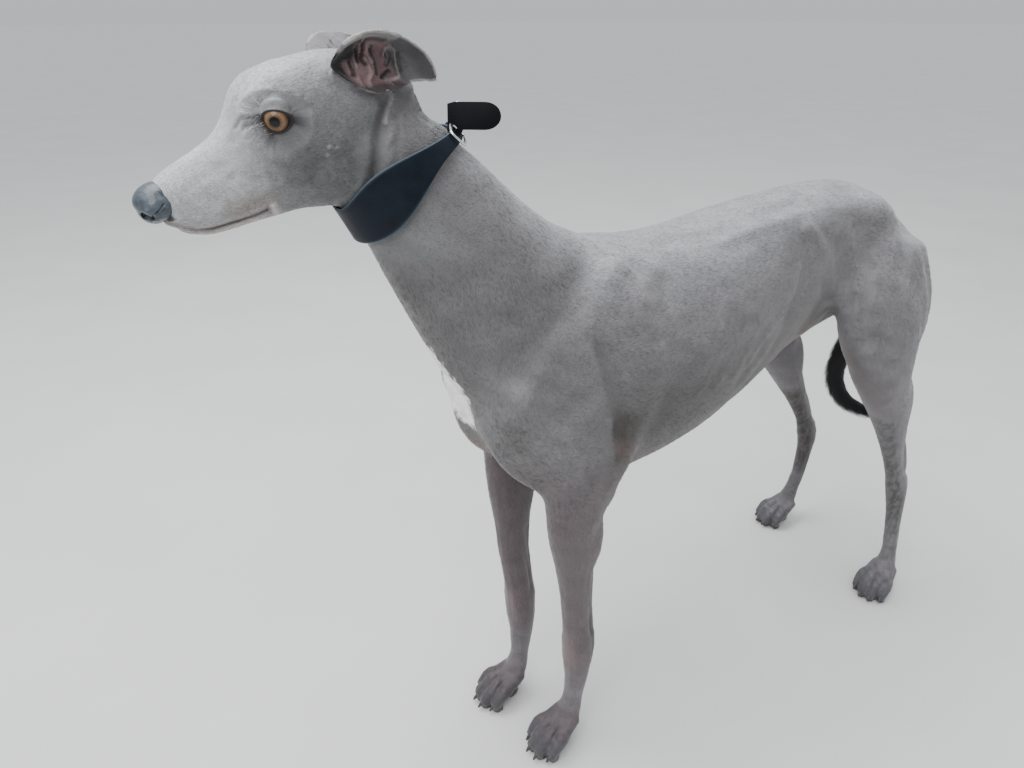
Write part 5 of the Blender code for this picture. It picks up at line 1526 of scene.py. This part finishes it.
def make_nose(finish):
    nose = sealed("nose_pad", ["nose"])
    modified(nose, "REMESH", mode="VOXEL", voxel_size=NOSE_VOXEL)
    diffuse(nose, 14, 1.0)
    relax(nose, 20, 1.0)
    set_places(nose, places(nose) - normals(nose) * 0.0005)
    strokes = both_sides([
        (3.0, -3.4, NOSTRIL),
        (1.4, -1.6, NOSE_SLIT),
        (2.8, 0.6, mm((237.0, 6.0, -4.5), (233.0, 13.0, -5.0))),
        (2.0, 0.6, mm((234.5, 6.0, -14.8), (231.0, 12.5, -14.8))),
    ])
    strokes.append((0.9, -0.7, mm((242.0, 0.0, -4.0), (240.0, 0.0, -20.0))))
    sculpt(nose, strokes, head_places(nose))
    spots = head_places(nose)
    # painted shade: darker in the nostrils and the slits beside them
    dark = np.zeros(len(spots))
    for side in SIDES:
        mirror = (1, side, 1)
        dark = np.maximum(dark, near_path(spots, (NOSTRIL - (0.001, 0, 0)) * mirror, 3.4, 2.0))
        dark = np.maximum(dark, near_path(spots, NOSE_SLIT * mirror, 1.6, 1.4))
    set_attribute(nose, "NostrilShade", np.clip(dark, 0, 1))
    only_finish(nose, finish)
    return smooth_faces(nose)


def tube(rows, sides):
    """Rings of points round a row of places with their two half widths, closed at both ends."""
    points = []
    last = len(rows) - 1
    for i, (*_, wide, high) in enumerate(rows):
        along = rows[min(i + 1, last)][:3] - rows[max(i - 1, 0)][:3]
        along /= max(np.linalg.norm(along), 1e-9)
        across = np.cross((0, 0, 1), along)
        across /= max(np.linalg.norm(across), 1e-9)
        rise = np.cross(along, across)
        for k in range(sides):
            a = 2 * math.pi * k / sides
            points.append(rows[i][:3] + across * (wide * math.cos(a)) + rise * (high * math.sin(a)))
    faces = [face[:1] + face[:0:-1] for face in wall(0, sides, last)]
    faces.append(tuple(range(sides))[::-1])
    faces.append(tuple(range(last * sides, (last + 1) * sides)))
    return points, faces


def make_claws(finish):
    """Curved horn over the tips of the toes, one piece a paw."""
    made = []
    for pair, side in PAWS:
        points, faces = [], []
        for place, reach, _ in TOES:
            tip = -0.012 - reach
            y = place * 1.16
            rows = smooth_rows([
                (tip + 0.008, y, 0.0120, 0.0030, 0.0034), (tip + 0.002, y, 0.0122, 0.0030, 0.0034),
                (tip - 0.0030, y, 0.0100, 0.0024, 0.0028), (tip - 0.0068, y, 0.0062, 0.0011, 0.0013)], 5)
            more_points, more_faces = tube(rows, 14)
            faces += [tuple(len(points) + i for i in face) for face in more_faces]
            points += more_points
        points = carried(np.array(points), paw_frame(pair, side))
        points[:, 2] = np.maximum(points[:, 2], 0.0)
        made.append(smooth_faces(mesh_object("claws_" + pair + "_" + SIDES[side], points, faces, finish)))
    return made


# Collar pieces

BAND_AROUND = 200
BAND_ACROSS = 26
BEVEL_ANGLE = math.radians(35)


def ring_faces(around, count):
    """Faces of a section with a number of points, carried once round."""
    faces = []
    for k in range(around):
        m = (k + 1) % around
        for c in range(count):
            d = (c + 1) % count
            faces.append((k * count + c, k * count + d, m * count + d, m * count + c))
    return faces


def outward(item):
    edited(item, lambda work: bmesh.ops.recalc_face_normals(work, faces=work.faces))
    return item


def make_band(finish):
    """The wide leather band, with rounded edges, a stitched line near each and a painted highlight along
    them.
    """
    steps = [1 - 2 * k / BAND_ACROSS for k in range(BAND_ACROSS + 1)]
    section = [(t, 0.0) for t in steps] + [(-t, 1.0) for t in steps]
    points, edge_highlight = [], []
    for i in range(BAND_AROUND):
        angle = 2 * math.pi * i / BAND_AROUND
        upper, lower = collar_edges(angle)
        middle, half = (upper + lower) / 2, (upper - lower) / 2
        for t, face in section:
            rounding = 1 - math.sqrt(max(0.0, 1 - max(0.0, (abs(t) - 0.94) / 0.06) ** 2))
            depth = BAND_THICKNESS * (0.5 + (face - 0.5) * (1 - rounding * 0.85))
            groove = 0.00035 * math.exp(-((abs(t) - 0.86) / 0.025) ** 2) if face else 0.0
            points.append(neck_point(middle + half * t * 0.995, angle, BAND_CLEAR + depth - groove))
            # painted highlight: strongest on the outer face of each rounded edge
            edge_highlight.append(max(0.0, (abs(t) - 0.90) / 0.10) ** 1.5 * (0.9 if face else 0.4))
    made = mesh_object("band", points, ring_faces(BAND_AROUND, len(section)), finish)
    set_attribute(made, "EdgeHighlight", np.array(edge_highlight))
    return smooth_faces(outward(made))


def soft_copy(name, node, finish, amount):
    """A hard piece with its edges rounded over."""
    made = sealed(name, [node])
    set_places(made, places(made) - normals(made) * SEAL)
    modified(made, "BEVEL", width=amount, segments=2, limit_method="ANGLE", angle_limit=BEVEL_ANGLE)
    only_finish(made, finish)
    # no painted edge highlight on these pieces
    set_attribute(made, "EdgeHighlight", np.zeros(len(made.data.vertices)))
    return smooth_faces(made)


# Building

def dress_coat():
    """Both skins and the tufts that grow on them."""
    coat = coat_finish()
    head = make_head_skin()
    body = make_body_skin()
    for skin, name, count, seed, pieces in ((head, "fur_head", HEAD_TUFTS, 41, 2),
                                            (body, "fur_body", BODY_TUFTS, 42, 4)):
        points, out = places(skin), normals(skin)
        set_attribute(skin, "Coat", coat_colours(points, out))
        set_attribute(skin, "Comb", comb_weights(points))
        laid = unwrap(skin)
        only_finish(skin, coat)
        for item in [skin] + grow_tufts(name, skin, laid, count, seed, coat, pieces):
            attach(item, "root")
    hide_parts("head", "ear_left", "ear_right")
    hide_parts(*BODY_NODES)


def dress_face_and_feet():
    eye = eye_finish()
    for side in SIDES:
        ball = make_eye(side, eye)
        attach(ball, "root")
        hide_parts("eye_" + SIDES[side])
    nose = make_nose(nose_finish())
    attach(nose, "root")
    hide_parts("nose")
    for claws in make_claws(horn_finish()):
        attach(claws, "root")


def dress_collar():
    leather = leather_finish("collar_leather", (0.0012, 0.0030, 0.0070), (0.0030, 0.0075, 0.0150), 0.40, 0.18)
    strap = leather_finish("strap_leather", (0.0010, 0.0014, 0.0024), (0.0020, 0.0028, 0.0044), 0.46, 0.06)
    chrome = chrome_finish()
    band = make_band(leather)
    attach(band, "root")
    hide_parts("collar")
    for name, node, finish, slot, amount in (
            ("strap_tip", "collar_strap_end", strap, "collar_leather", 0.0009),
            ("keeper", "collar_keeper", leather, "collar_leather", 0.0008),
            ("ring", "collar_ring", chrome, "chrome", 0.0002),
            ("buckle", "collar_buckle", chrome, "chrome", 0.0002)):
        made = soft_copy(name, node, finish, amount)
        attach(made, "root")
        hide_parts(node)


# Studio

FLOOR_REACH = 60


def area_light(name, place, aim, size, power, colour):
    data = bpy.data.lights.new(name, "AREA")
    data.shape = "DISK"
    data.size = size
    data.energy = power
    data.color = colour
    item = new_object(name, data)
    item.location = place
    item.rotation_euler = (Vector(aim) - Vector(place)).to_track_quat("-Z", "Y").to_euler()


def studio_sky():
    """Soft light from all round, twice as bright overhead, so the floor fades into it."""
    tree = Tree(bpy.data.worlds.new("studio"))
    parts = tree.add("SeparateXYZ", {"Vector": tree.add("TexCoord", {}).outputs["Generated"]})
    tone = tree.ramp(parts.outputs["Z"], (0.0, (0.466, 0.478, 0.490)), (1.0, (0.880, 0.905, 0.930)))
    backdrop = tree.nodes["Background"]
    tree.feed(backdrop.inputs["Color"], tone)
    tree.feed(backdrop.inputs["Strength"], 1.32)
    bpy.context.scene.world = tree.made


def place_camera():
    data = bpy.data.cameras.new("camera")
    data.sensor_width = 36
    data.lens = LENS
    data.clip_start = 0.01
    camera = new_object("camera", data)
    forward, right = Vector(CAMERA_FORWARD).normalized(), Vector(CAMERA_RIGHT).normalized()
    axes = Matrix((right, right.cross(forward), -forward)).transposed().to_4x4()
    axes.translation = Vector(CAMERA_PLACE)
    camera.matrix_world = axes
    bpy.context.scene.camera = camera


def studio():
    corners = [(x * FLOOR_REACH, y * FLOOR_REACH, 0) for x, y in ((-1, -1), (1, -1), (1, 1), (-1, 1))]
    floor = mesh_object("studio_floor", corners, [(0, 1, 2, 3)], floor_finish())
    studio_sky()
    area_light("sky_panel", (-0.6, 0.5, 3.0), (0.0, 0.0, 0.4), 2.4, 100, (0.98, 0.99, 1.0))
    area_light("front_panel", (-1.9, -1.3, 2.7), (-0.1, 0.0, 0.6), 2.0, 55, (1.0, 0.99, 0.97))
    place_camera()


dress_coat()
dress_face_and_feet()
dress_collar()
studio()
